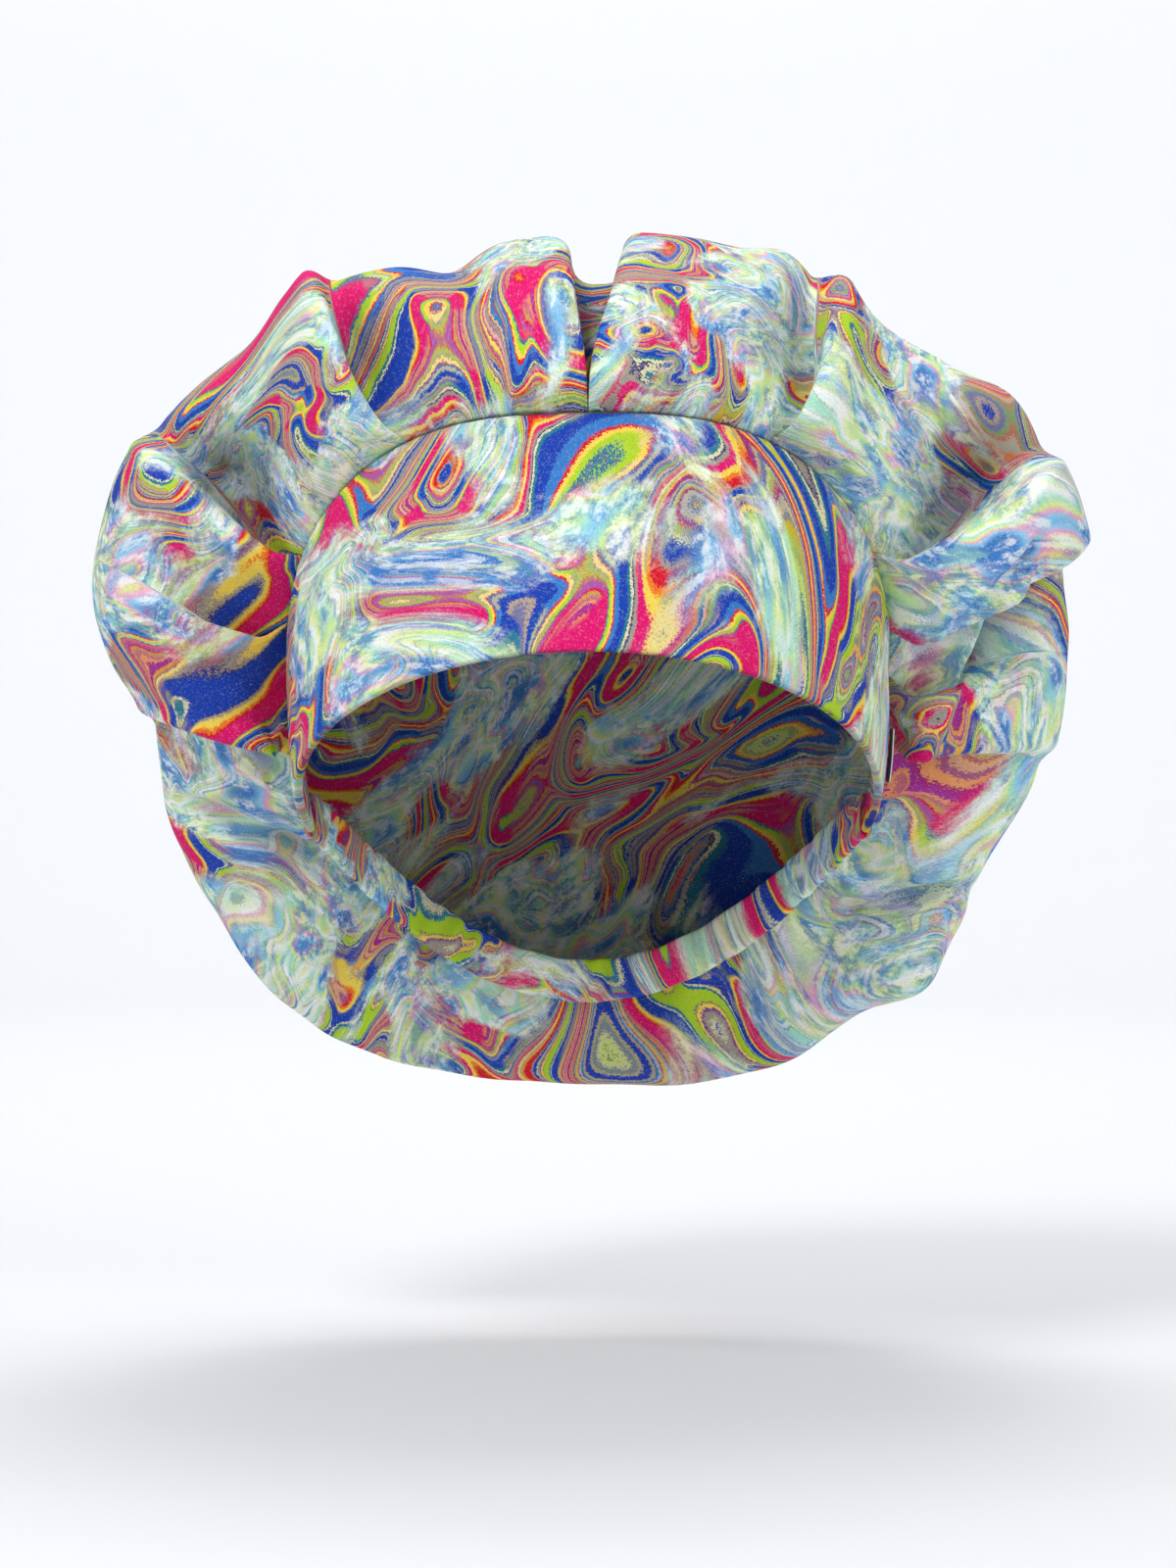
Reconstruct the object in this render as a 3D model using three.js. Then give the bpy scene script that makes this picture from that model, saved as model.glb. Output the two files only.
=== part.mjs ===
// Bouffant scrub cap of printed cotton, in the form it takes on a head.
// Millimetres, +Z up, the forehead towards -Y, the wearer's left at +X.
// The origin is the centre of the head opening, between the two ends of the band.
import * as THREE from "three";

// The head opening
const HEAD_HALF_WIDTH = 80; // origin to the band's outer face, over an ear
const HEAD_FRONT = 95; // origin to where that face would stand at its foremost
const HEAD_NAPE = 84; // origin to the casing's outer face, at the nape
const HEAD_WIDEST = 40; // height at which the head is widest
const HEAD_ABOVE_SEAM = 27; // from the band's seam up to the top of the head's curve
const HEAD_FALL = 112; // from the widest height down to the bottom of that curve
const HEAD_ROUNDNESS = 2.4; // exponent of that curve, 2 for an ellipse

// The band over the forehead, a crescent
const RIM_HEIGHT = 40.5; // its lower edge at the forehead, above the origin
const BAND_HEIGHT = 60.5; // from that edge up to its seam
const BAND_WALL = 2.4; // two layers of cotton and the turned-in allowances
const TIP_ANGLE = 97; // degrees round from the forehead to each end of the band
const TIP_SEAM = 5; // height of the seam at each end
const SEAM_ROUNDNESS = { across: 3, down: 0.77 }; // exponents of its fall to the ends

// The elastic casing round the nape
const CASING_HEIGHT = 12;
const CASING_THICKNESS = 4;
const CASING_EDGE = 2; // how far its rounded edges run up its faces
const NAPE_DROP = 48; // from the origin down to its middle, at the nape
const TIP_EASE = 0.15; // share of its length in which the crown's line comes to its middle

// The crown, a bag pleated into the band's seam and gathered on the casing
const CROWN_WALL = 1.1;
const BAG_REACH = 132; // from the bag's axis out to its side
const BAG_AXIS = 46; // height of that axis, which runs from front to back
const BAG_DEPTH = 140; // origin to the back of the bag
const BAG_SAG = 26; // how far the middle of the back hangs below the axis
const BAG_BACK = 0.8; // exponent of the back's fullness, 1 for an ellipse
const PUFF = 60; // how far forward the cloth swells between the seam and the outline
const PLEAT_LAP = 4.4; // half of the cloth hidden in a pressed pleat
const PLEAT_HALF = 3; // half of the width that a pleat's turn takes up at the seam
const PLEAT_STACK = 3.2; // half the height of a pressed pleat's layers
const PLEAT_OPENS = 0.2; // where it stands fully open, as a share of the way to the bag's back
const PLEAT_SPREAD = 20; // how far along the seam a pleat's rise dies away
const GATHERS = 9; // gathers that show along the casing
const GATHER_DEPTH = 2.4;

// The label folded into the seam over the left ear, and the gap between pieces that meet
const LABEL_HEIGHT = 14;
const LABEL_LENGTH = 7;
const LABEL_THICKNESS = 1.2;
const LABEL_FOOT = 9; // height of its lower edge
const LABEL_SET_BACK = 9; // from its edge by the seam to the seam itself
const GAP = 0.4;
const SEWN_GAP = 1.2; // from the crown's gathered edge to the face that it is sewn to

// How finely the curved walls are cut into facets
const BAND_FACETS = { along: 40, across: 4 };
const CASING_FACETS = 44;
const CROWN_ROWS = { count: 15, crowding: 1.25 }; // crowded towards the seam
const PLEAT_COLUMNS = 6;
const COLUMN_WIDTH = 9; // widest facet along the crown's edge
const LABEL_FACETS = 3;

// The bag's sections. at is where a section leaves the head opening: 0 at the forehead, 1 at the
// band's end on the wearer's left and 2 at the nape, the other way round below 0. out is where it
// reaches the outline, in degrees round the bag's axis from the wearer's left over the top.
// reach is a share of BAG_REACH and back of BAG_DEPTH, and the rest are shares of PUFF: how far
// the section stands off the head as it leaves, swells forwards, and is drawn in between the two.
const SECTIONS = [
  { at: -1.741, out: 257, reach: 0.96, back: 0.72, leave: 0.16, swell: 0.3, waist: 0 },
  { at: -1.492, out: 241, reach: 1, back: 0.64, leave: 0.18, swell: 0.4, waist: 0 },
  { at: -1.316, out: 228, reach: 1.005, back: 0.53, leave: 0.2, swell: 0.5, waist: 0.06 },
  { at: -1.2, out: 216, reach: 0.965, back: 0.44, leave: 0.21, swell: 0.58, waist: 0.14 },
  { at: -1.08, out: 205, reach: 0.95, back: 0.33, leave: 0.22, swell: 0.65, waist: 0.2 },
  { at: -1, out: 196, reach: 0.93, back: 0.25, leave: 0.24, swell: 0.7, waist: 0.18 },
  { at: -0.92, out: 188, reach: 0.918, back: 0.19, leave: 0.24, swell: 0.75, waist: 0.16 },
  { at: -0.84, out: 181, reach: 0.965, back: 0.13, leave: 0.24, swell: 0.8, waist: 0.12 },
  { at: -0.75, out: 172, reach: 1, back: 0.08, leave: 0.24, swell: 0.9, waist: 0.04 },
  { at: -0.6, out: 155, reach: 0.985, back: 0.05, leave: 0.26, swell: 0.9, waist: 0 },
  { at: -0.53, out: 147, reach: 0.945, back: 0.02, leave: 0.28, swell: 0.88, waist: 0 },
  { at: -0.455, out: 139, reach: 0.9, back: 0, leave: 0.3, swell: 0.85, waist: 0 },
  { at: -0.36, out: 131, reach: 0.9, back: -0.05, leave: 0.31, swell: 0.75, waist: 0 },
  { at: -0.3, out: 126, reach: 0.89, back: -0.09, leave: 0.32, swell: 0.7, waist: 0 },
  { at: -0.23, out: 118, reach: 0.83, back: -0.12, leave: 0.32, swell: 0.68, waist: 0 },
  { at: -0.167, out: 111, reach: 0.76, back: -0.14, leave: 0.32, swell: 0.68, waist: 0 },
  { at: -0.078, out: 102, reach: 0.775, back: -0.17, leave: 0.32, swell: 0.68, waist: 0 },
  { at: 0, out: 88.5, reach: 0.775, back: -0.17, leave: 0.32, swell: 0.68, waist: 0 },
  { at: 0.078, out: 77, reach: 0.8, back: -0.17, leave: 0.32, swell: 0.68, waist: 0 },
  { at: 0.167, out: 69, reach: 0.82, back: -0.15, leave: 0.32, swell: 0.68, waist: 0 },
  { at: 0.23, out: 63.5, reach: 0.86, back: -0.13, leave: 0.32, swell: 0.68, waist: 0 },
  { at: 0.3, out: 57, reach: 0.85, back: -0.1, leave: 0.32, swell: 0.7, waist: 0 },
  { at: 0.38, out: 47, reach: 0.835, back: -0.06, leave: 0.31, swell: 0.75, waist: 0 },
  { at: 0.455, out: 38, reach: 0.9, back: -0.02, leave: 0.3, swell: 0.85, waist: 0 },
  { at: 0.53, out: 30.5, reach: 0.99, back: 0.02, leave: 0.28, swell: 0.88, waist: 0 },
  { at: 0.6, out: 22.5, reach: 1, back: 0.05, leave: 0.26, swell: 0.9, waist: 0 },
  { at: 0.66, out: 17, reach: 1.01, back: 0.06, leave: 0.25, swell: 0.9, waist: 0.02 },
  { at: 0.75, out: 8, reach: 1, back: 0.1, leave: 0.24, swell: 0.9, waist: 0.06 },
  { at: 0.84, out: -2, reach: 0.99, back: 0.17, leave: 0.24, swell: 0.82, waist: 0.14 },
  { at: 0.92, out: -12, reach: 0.975, back: 0.26, leave: 0.24, swell: 0.75, waist: 0.2 },
  { at: 1, out: -20, reach: 0.975, back: 0.33, leave: 0.24, swell: 0.7, waist: 0.2 },
  { at: 1.1, out: -30, reach: 0.965, back: 0.42, leave: 0.22, swell: 0.65, waist: 0.18 },
  { at: 1.2, out: -37.5, reach: 0.99, back: 0.48, leave: 0.21, swell: 0.6, waist: 0.12 },
  { at: 1.3, out: -45, reach: 1.03, back: 0.53, leave: 0.2, swell: 0.5, waist: 0.06 },
  { at: 1.42, out: -53, reach: 0.985, back: 0.59, leave: 0.19, swell: 0.45, waist: 0 },
  { at: 1.57, out: -64, reach: 0.99, back: 0.66, leave: 0.18, swell: 0.36, waist: 0 },
  { at: 1.75, out: -76, reach: 0.97, back: 0.71, leave: 0.16, swell: 0.3, waist: 0 },
  { at: 2, out: -90, reach: 0.94, back: 0.74, leave: 0.16, swell: 0.3, waist: 0 },
];

// The pleats. at is where each leaves the seam, as above, and over is 1 where the cloth on the
// side of the wearer's left lies on top. lap is a share of PLEAT_LAP. lift and sink are shares of
// PUFF: how far the upper cloth rises and the lower drops where the pleat has opened. fade is
// where it has smoothed out, as a share of the way from the seam to the middle of the back.
const PLEATS = [
  { at: -0.93, over: 1, lap: 0.5, lift: 0.12, sink: 0.05, fade: 0.5 },
  { at: -0.74, over: -1, lap: 0.8, lift: 0.07, sink: 0.09, fade: 0.42 },
  { at: -0.597, over: -1, lap: 0.9, lift: 0.09, sink: 0.2, fade: 0.48 },
  { at: -0.301, over: -1, lap: 0.9, lift: 0.12, sink: 0.1, fade: 0.52 },
  { at: -0.023, over: -1, lap: 0.9, lift: 0.1, sink: 0.09, fade: 0.74 },
  { at: 0.023, over: 1, lap: 0.9, lift: 0.1, sink: 0.09, fade: 0.74 },
  { at: 0.301, over: 1, lap: 0.9, lift: 0.12, sink: 0.1, fade: 0.52 },
  { at: 0.603, over: 1, lap: 0.9, lift: 0.09, sink: 0.19, fade: 0.46 },
  { at: 0.725, over: -1, lap: 0.9, lift: 0.1, sink: 0.16, fade: 0.54 },
  { at: 0.84, over: 1, lap: 0.7, lift: 0.08, sink: 0.08, fade: 0.42 },
  { at: 0.93, over: -1, lap: 0.5, lift: 0.13, sink: 0.06, fade: 0.5 },
];

const SAMPLES = 600; // divisions in which a curve's length is measured
const UP = new THREE.Vector3(0, 0, 1);
const { degToRad, smoothstep, lerp } = THREE.MathUtils;

// A point of the band's outer face, at an angle round from the forehead and a height.
function onHead(angle, height) {
  const rise = RIM_HEIGHT + BAND_HEIGHT + HEAD_ABOVE_SEAM - HEAD_WIDEST;
  const share = Math.abs(height - HEAD_WIDEST) / (height > HEAD_WIDEST ? rise : HEAD_FALL);
  const taper = (1 - share ** HEAD_ROUNDNESS) ** (1 / HEAD_ROUNDNESS);
  return new THREE.Vector3(
    HEAD_HALF_WIDTH * taper * Math.sin(angle),
    -HEAD_FRONT * taper * Math.cos(angle),
    height,
  );
}

function headNormal(angle, height) {
  const step = 0.01;
  const round = onHead(angle + step, height).sub(onHead(angle - step, height));
  const rise = onHead(angle, height + step).sub(onHead(angle, height - step));
  return round.cross(rise).normalize();
}

const bandAngle = (share) => degToRad(TIP_ANGLE) * share;
const rimHeight = (share) => RIM_HEIGHT * Math.cos(bandAngle(share));

function seamHeight(share) {
  const { across, down } = SEAM_ROUNDNESS;
  const top = RIM_HEIGHT + BAND_HEIGHT;
  return TIP_SEAM + (top - TIP_SEAM) * (1 - Math.abs(share) ** across) ** down;
}

// The band's seam from the forehead to its end on the wearer's left, on its outer face.
class SeamLine extends THREE.Curve {
  getPoint(share, target = new THREE.Vector3()) {
    return target.copy(onHead(bandAngle(share), seamHeight(share)));
  }

  normalAt(share) {
    const along = this.getUtoTmapping(share);
    return headNormal(bandAngle(along), seamHeight(along));
  }
}

// The middle of the casing's outer face, from the band's end to the nape.
class HemLine extends THREE.Curve {
  getPoint(share, target = new THREE.Vector3()) {
    const turn = (share * Math.PI) / 2;
    const start = onHead(bandAngle(1), (TIP_SEAM + rimHeight(1)) / 2);
    return target.set(
      start.x * Math.cos(turn),
      lerp(start.y, HEAD_NAPE, Math.sin(turn)),
      lerp(start.z, -NAPE_DROP, Math.sin(turn) ** 2),
    );
  }

  normalAt(share) {
    return this.getTangentAt(share).cross(UP).normalize();
  }

  riseAt(share) {
    return this.normalAt(share).cross(this.getTangentAt(share));
  }
}

const seam = new SeamLine();
const hem = new HemLine();
seam.arcLengthDivisions = SAMPLES;
hem.arcLengthDivisions = SAMPLES;
const SEAM_LENGTH = seam.getLength();
const HEM_LENGTH = hem.getLength();
const RING_LENGTH = 2 * (SEAM_LENGTH + HEM_LENGTH);

// Where the crown starts: a point just off the outer face of the band or the casing, and the
// direction straight off that face.
function crownEdge(at) {
  const share = Math.abs(at);
  let point;
  let normal;
  if (share <= 1) {
    point = seam.getPointAt(share);
    normal = seam.normalAt(share);
  } else {
    const past = share - 1;
    const start = (TIP_SEAM - rimHeight(1)) / 2;
    const shift = start * (1 - smoothstep(past, 0, TIP_EASE));
    point = hem.getPointAt(past).addScaledVector(hem.riseAt(past), shift);
    normal = seam.normalAt(1).lerp(hem.normalAt(past), smoothstep(past, 0, TIP_EASE));
    normal.normalize();
  }
  point.addScaledVector(normal, SEWN_GAP);
  if (at < 0) {
    point.x *= -1;
    normal.x *= -1;
  }
  return { point, normal };
}

// The distance along the head opening from the forehead, negative to the wearer's right.
function ringRun(at) {
  const share = Math.abs(at);
  const run = share <= 1 ? share * SEAM_LENGTH : SEAM_LENGTH + (share - 1) * HEM_LENGTH;
  return Math.sign(at) * run;
}

// One column of the section table at any place round the opening, by a smooth curve through it.
function sectionValue(at, column) {
  const count = SECTIONS.length;
  const row = (index) => {
    const turn = Math.floor(index / count);
    const section = SECTIONS[index - turn * count];
    const wrap = column === "out" ? -360 * turn : 0;
    return { at: section.at + 4 * turn, value: section[column] + wrap };
  };
  let index = SECTIONS.findIndex((section) => section.at > at) - 1;
  if (index < -1) index = count - 1;
  const [before, from, to, after] = [-1, 0, 1, 2].map((step) => row(index + step));
  const width = to.at - from.at;
  const share = (at - from.at) / width;
  const slopeFrom = ((to.value - before.value) / (to.at - before.at)) * width;
  const slopeTo = ((after.value - from.value) / (after.at - from.at)) * width;
  const cube = share ** 3;
  const square = share ** 2;
  return (
    (2 * cube - 3 * square + 1) * from.value +
    (cube - 2 * square + share) * slopeFrom +
    (3 * square - 2 * cube) * to.value +
    (cube - square) * slopeTo
  );
}

// One section of the bag: a curve from the opening to the outline, and a dome from there to the
// middle of the back. way is 0 at the opening, half at the outline and 1 at that middle.
function bagSection(at) {
  const read = (column) => sectionValue(at, column);
  const angle = degToRad(read("out"));
  const reach = read("reach") * BAG_REACH;
  const depth = read("back") * BAG_DEPTH;
  const waist = read("waist") * PUFF;
  const { point, normal } = crownEdge(at);
  const outline = new THREE.Vector3(
    reach * Math.cos(angle),
    depth,
    BAG_AXIS + reach * Math.sin(angle),
  );
  const front = new THREE.CubicBezierCurve3(
    point,
    point.clone().addScaledVector(normal, read("leave") * PUFF),
    outline.clone().setY(depth - read("swell") * PUFF),
    outline,
  );
  const inward = new THREE.Vector3(-Math.cos(angle), 0, -Math.sin(angle));
  return (way) => {
    if (way <= 0.5) {
      const drawn = waist * Math.sin(2 * Math.PI * way) ** 2;
      return front.getPoint(2 * way).addScaledVector(inward, drawn);
    }
    const turn = (way - 0.5) * Math.PI;
    const radius = reach * Math.max(0, Math.cos(turn)) ** BAG_BACK;
    return new THREE.Vector3(
      radius * Math.cos(angle),
      lerp(depth, BAG_DEPTH, Math.sin(turn)),
      BAG_AXIS - BAG_SAG * (1 - Math.cos(turn)) + radius * Math.sin(angle),
    );
  };
}

// How the pleats and gathers move a point of the bag: along the ring, and off the surface.
function foldShift(at, way) {
  const run = ringRun(at);
  let along = 0;
  let off = 0;
  for (const pleat of PLEATS) {
    const opening = smoothstep(way, 0, PLEAT_OPENS);
    const opened = opening * (1 - smoothstep(way, pleat.fade - 0.25, pleat.fade + 0.1));
    const pressed = PLEAT_STACK * (1 - opening);
    const upper = pressed + opened * pleat.lift * PUFF;
    const lower = -pressed - opened * pleat.sink * PUFF;
    const distance = run - ringRun(pleat.at);
    const wrapped = distance - RING_LENGTH * Math.round(distance / RING_LENGTH);
    const beyond = Math.abs(wrapped) - PLEAT_HALF;
    const side = Math.sign(wrapped) * pleat.over;
    if (beyond >= 0) {
      off += (side > 0 ? upper : lower) * Math.exp(-beyond / PLEAT_SPREAD);
    } else {
      const turn = (Math.PI * wrapped) / PLEAT_HALF;
      const lap = pleat.lap * PLEAT_LAP * (1 - smoothstep(way, 0.1, pleat.fade));
      along -= lap * Math.sin(turn);
      off += (upper + lower) / 2 + ((upper - lower) / 2) * pleat.over * Math.sin(turn / 2);
    }
  }
  const past = Math.abs(at) - 1;
  if (past > 0) {
    const gathered = smoothstep(past, 0, TIP_EASE) * (1 - smoothstep(way, 0.05, 0.5));
    off += GATHER_DEPTH * gathered * Math.cos(Math.PI * GATHERS * (1 - past));
  }
  return { along, off };
}

// The places round the opening where the crown has a column of vertices.
function crownColumns() {
  const half = PLEAT_HALF / SEAM_LENGTH;
  const pinned = [];
  for (const pleat of PLEATS) {
    for (let i = 0; i <= PLEAT_COLUMNS; i++) {
      pinned.push(pleat.at + half * ((2 * i) / PLEAT_COLUMNS - 1));
    }
  }
  const quarters = 2 * GATHERS;
  for (let i = 0; i <= quarters; i++) {
    pinned.push(2 - i / quarters, -2 + i / quarters);
  }
  pinned.sort((a, b) => a - b);
  const columns = [];
  for (let i = 0; i + 1 < pinned.length; i++) {
    const width = ringRun(pinned[i + 1]) - ringRun(pinned[i]);
    const parts = Math.max(1, Math.ceil(width / COLUMN_WIDTH));
    for (let k = 0; k < parts; k++) {
      columns.push(lerp(pinned[i], pinned[i + 1], k / parts));
    }
  }
  return columns;
}

// The crown's middle surface: a ring of columns, each from the opening to the middle of the back.
function crownGrid() {
  const columns = crownColumns();
  const { count, crowding } = CROWN_ROWS;
  const rows = Array.from({ length: count + 1 }, (_, j) => (j / count) ** crowding);
  const sections = columns.map(bagSection);
  const smooth = sections.map((section) => rows.map(section));
  return smooth.map((points, i) => {
    const before = smooth.at(i - 1);
    const after = smooth[(i + 1) % smooth.length];
    return points.map((point, j) => {
      if (j === count) return point;
      const along = after[j].clone().sub(before[j]).normalize();
      const outwards = points[j + 1].clone().sub(points[Math.max(0, j - 1)]);
      const normal = along.clone().cross(outwards).normalize();
      const shift = foldShift(columns[i], rows[j]);
      return point.clone().addScaledVector(along, shift.along).addScaledVector(normal, shift.off);
    });
  });
}

// A closed wall on both sides of a grid of points. The grid's columns run to the right and its
// rows upwards, as seen from outside. A loop has no first and last column, and a pole's last row
// is a single point.
function wall(grid, { outward, inward, loop = false, pole = false }) {
  const columns = grid.length;
  const rows = grid[0].length;
  const next = (i) => (loop ? (i + 1) % columns : Math.min(i + 1, columns - 1));
  const previous = (i) => (loop ? (i + columns - 1) % columns : Math.max(i - 1, 0));
  const positions = [];
  const faces = [];

  const normalAt = (i, j) => {
    if (pole && j === rows - 1) {
      const total = new THREE.Vector3();
      for (let k = 0; k < columns; k++) total.add(normalAt(k, j - 1));
      return total.normalize();
    }
    const right = grid[next(i)][j].clone().sub(grid[previous(i)][j]);
    const above = grid[i][Math.min(j + 1, rows - 1)];
    const up = above.clone().sub(grid[i][Math.max(j - 1, 0)]);
    return right.cross(up).normalize();
  };
  const layer = (offset) => {
    const index = grid.map(() => []);
    for (let j = 0; j < rows; j++) {
      const shared = pole && j === rows - 1;
      for (let i = 0; i < columns; i++) {
        if (shared && i > 0) {
          index[i].push(index[0][j]);
          continue;
        }
        index[i].push(positions.length / 3);
        positions.push(...grid[i][j].clone().addScaledVector(normalAt(i, j), offset));
      }
    }
    return index;
  };
  const outer = layer(outward);
  const inner = layer(-inward);

  const triangle = (a, b, c) => {
    if (a !== b && b !== c && c !== a) faces.push(a, b, c);
  };
  const quad = (a, b, c, d) => {
    triangle(a, b, c);
    triangle(a, c, d);
  };
  const lastColumn = loop ? columns : columns - 1;
  for (let i = 0; i < lastColumn; i++) {
    const right = next(i);
    for (let j = 0; j + 1 < rows; j++) {
      quad(outer[i][j], outer[right][j], outer[right][j + 1], outer[i][j + 1]);
      quad(inner[i][j], inner[i][j + 1], inner[right][j + 1], inner[right][j]);
    }
    quad(outer[i][0], inner[i][0], inner[right][0], outer[right][0]);
    if (!pole) {
      const top = rows - 1;
      quad(outer[i][top], outer[right][top], inner[right][top], inner[i][top]);
    }
  }
  if (!loop) {
    const last = columns - 1;
    for (let j = 0; j + 1 < rows; j++) {
      quad(outer[0][j], outer[0][j + 1], inner[0][j + 1], inner[0][j]);
      quad(outer[last][j], inner[last][j], inner[last][j + 1], outer[last][j + 1]);
    }
  }
  const geometry = new THREE.BufferGeometry();
  geometry.setAttribute("position", new THREE.Float32BufferAttribute(positions, 3));
  geometry.setIndex(faces);
  geometry.computeVertexNormals();
  return geometry;
}

function cloth(color, roughness) {
  return new THREE.MeshStandardMaterial({ color, roughness, metalness: 0 });
}

const printedCotton = () => cloth(0xb0569c, 0.85);
const blackTape = () => cloth(0x161518, 0.7);

function frontBand() {
  const { along, across } = BAND_FACETS;
  const grid = Array.from({ length: along + 1 }, (_, i) => {
    const place = (2 * i) / along - 1;
    const share = Math.sign(place) * seam.getUtoTmapping(Math.abs(place));
    return Array.from({ length: across + 1 }, (_, j) => {
      const height = lerp(rimHeight(share), seamHeight(share), j / across);
      return onHead(bandAngle(share), height);
    });
  });
  return new THREE.Mesh(wall(grid, { outward: 0, inward: BAND_WALL }), printedCotton());
}

// The casing is a flat tube: its section, drawn outwards and upwards, follows the hem line.
function napeCasing() {
  const top = CASING_HEIGHT / 2;
  const side = top - CASING_EDGE;
  const edge = CASING_EDGE / 2;
  const section = [
    [0, side],
    [-edge, top],
    [edge - CASING_THICKNESS, top],
    [-CASING_THICKNESS, side],
    [-CASING_THICKNESS, -side],
    [edge - CASING_THICKNESS, -top],
    [-edge, -top],
    [0, -side],
  ];
  const start = (2 * GAP) / HEM_LENGTH;
  const positions = [];
  for (let i = 0; i <= CASING_FACETS; i++) {
    const place = (2 * i) / CASING_FACETS - 1;
    const share = Math.max(start, 1 - Math.abs(place));
    const point = hem.getPointAt(share);
    const normal = hem.normalAt(share);
    const rise = hem.riseAt(share);
    for (const [out, up] of section) {
      const corner = point.clone().addScaledVector(normal, out).addScaledVector(rise, up);
      if (place > 0) corner.x *= -1;
      positions.push(...corner);
    }
  }
  const faces = [];
  const size = section.length;
  for (let i = 0; i < CASING_FACETS; i++) {
    for (let k = 0; k < size; k++) {
      const [a, b] = [i * size + k, i * size + ((k + 1) % size)];
      faces.push(a, b + size, b, a, a + size, b + size);
    }
  }
  const last = CASING_FACETS * size;
  for (let k = 1; k + 1 < size; k++) {
    faces.push(0, k, k + 1, last, last + k + 1, last + k);
  }
  const geometry = new THREE.BufferGeometry();
  geometry.setAttribute("position", new THREE.Float32BufferAttribute(positions, 3));
  geometry.setIndex(faces);
  geometry.computeVertexNormals();
  return new THREE.Mesh(geometry, printedCotton());
}

function crown() {
  const half = CROWN_WALL / 2;
  const geometry = wall(crownGrid(), { outward: half, inward: half, loop: true, pole: true });
  return new THREE.Mesh(geometry, printedCotton());
}

// The label lies flat against the band, in front of the seam.
function labelTab() {
  const seamShare = (height) => {
    let [low, high] = [0, 1];
    while (high - low > 1e-6) {
      const middle = (low + high) / 2;
      if (seamHeight(middle) > height) low = middle;
      else high = middle;
    }
    return low;
  };
  const middle = LABEL_FOOT + LABEL_HEIGHT / 2;
  // The band runs nearly straight back here, so a length over HEAD_FRONT is an angle.
  const edge = bandAngle(seamShare(middle)) - LABEL_SET_BACK / HEAD_FRONT;
  const grid = Array.from({ length: LABEL_FACETS + 1 }, (_, i) => {
    const angle = edge - (LABEL_LENGTH / HEAD_FRONT) * (1 - i / LABEL_FACETS);
    return [0, 1].map((j) => {
      const height = LABEL_FOOT + LABEL_HEIGHT * j;
      return onHead(angle, height).addScaledVector(headNormal(angle, height), GAP);
    });
  });
  return new THREE.Mesh(wall(grid, { outward: LABEL_THICKNESS, inward: 0 }), blackTape());
}

const cap = new THREE.Group();
const pieces = {
  front_band: frontBand(),
  nape_casing: napeCasing(),
  crown: crown(),
  label_tab: labelTab(),
};
for (const [name, mesh] of Object.entries(pieces)) {
  mesh.name = name;
  cap.add(mesh);
}

export default cap;
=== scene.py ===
import math

import bpy
import numpy as np
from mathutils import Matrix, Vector


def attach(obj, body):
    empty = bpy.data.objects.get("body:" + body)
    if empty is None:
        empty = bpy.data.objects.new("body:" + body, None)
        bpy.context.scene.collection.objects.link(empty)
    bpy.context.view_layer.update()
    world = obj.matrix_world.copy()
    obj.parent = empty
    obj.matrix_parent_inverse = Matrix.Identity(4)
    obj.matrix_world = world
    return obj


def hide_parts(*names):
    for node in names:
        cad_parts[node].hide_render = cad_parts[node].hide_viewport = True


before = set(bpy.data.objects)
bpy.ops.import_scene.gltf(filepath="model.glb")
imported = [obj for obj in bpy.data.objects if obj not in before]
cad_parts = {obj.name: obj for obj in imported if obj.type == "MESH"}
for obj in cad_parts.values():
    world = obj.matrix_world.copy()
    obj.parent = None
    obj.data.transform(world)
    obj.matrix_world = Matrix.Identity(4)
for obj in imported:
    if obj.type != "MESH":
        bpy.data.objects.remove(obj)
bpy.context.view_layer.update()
MM = 0.001

# The head opening, a curve round the head that the band's outer face follows
HEAD_HALF_WIDTH = 80  # origin to that face, over an ear
HEAD_FRONT = 95  # origin to where that face would stand at its foremost
HEAD_NAPE = 84  # origin to the casing's outer face, at the nape
HEAD_WIDEST = 40  # height at which the head is widest
HEAD_ABOVE_SEAM = 27  # from the band's seam up to the top of the head's curve
HEAD_FALL = 112  # from the widest height down to the bottom of that curve
HEAD_ROUNDNESS = 2.4  # exponent of that curve, 2 for an ellipse
HEAD_END = 0.9999  # the share of its rise or fall beyond which the curve isn't followed
RING = 4  # what "at" grows by in one turn round the opening

# The band over the forehead
RIM_HEIGHT = 40.5  # its lower edge at the forehead, above the origin
BAND_HEIGHT = 60.5  # from that edge up to its seam
BAND_WALL = 2.4
TIP = np.radians(97)  # the angle round from the forehead to each end of the band
TIP_SEAM = 5  # height of the seam at each end
SEAM_ACROSS = 3  # exponents of the seam's fall to the ends
SEAM_DOWN = 0.77
BAND_PUCKER = 0.3  # depth of the dimples that the stitches pull into the seam
BAND_PUCKER_SPACING = 6.5
BAND_PUCKER_WANDER = [(1.7, 17), (1, 7.3)]  # how it varies: reach, length
BAND_PUCKER_FADE = 5  # how far below the seam they die away
BAND_PUCKER_START = (-0.2, 1.6)  # where they start and are in full, down from the seam
BAND_CALM = 4  # how far above the rim the cloth's waves grow in
BAND_WAVES = [(0.35, 46, 21), (0.14, 15, 22)]  # height, length, seed
BAND_PRINT_SHIFT = [0, -96, 0]
BAND_ARC_HEIGHT = 60  # height at which the print is measured round the head
BAND_SHADE = 0.6  # how far the dark of its two edges reaches
RIM_SHADE_SHARE = 0.55

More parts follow.
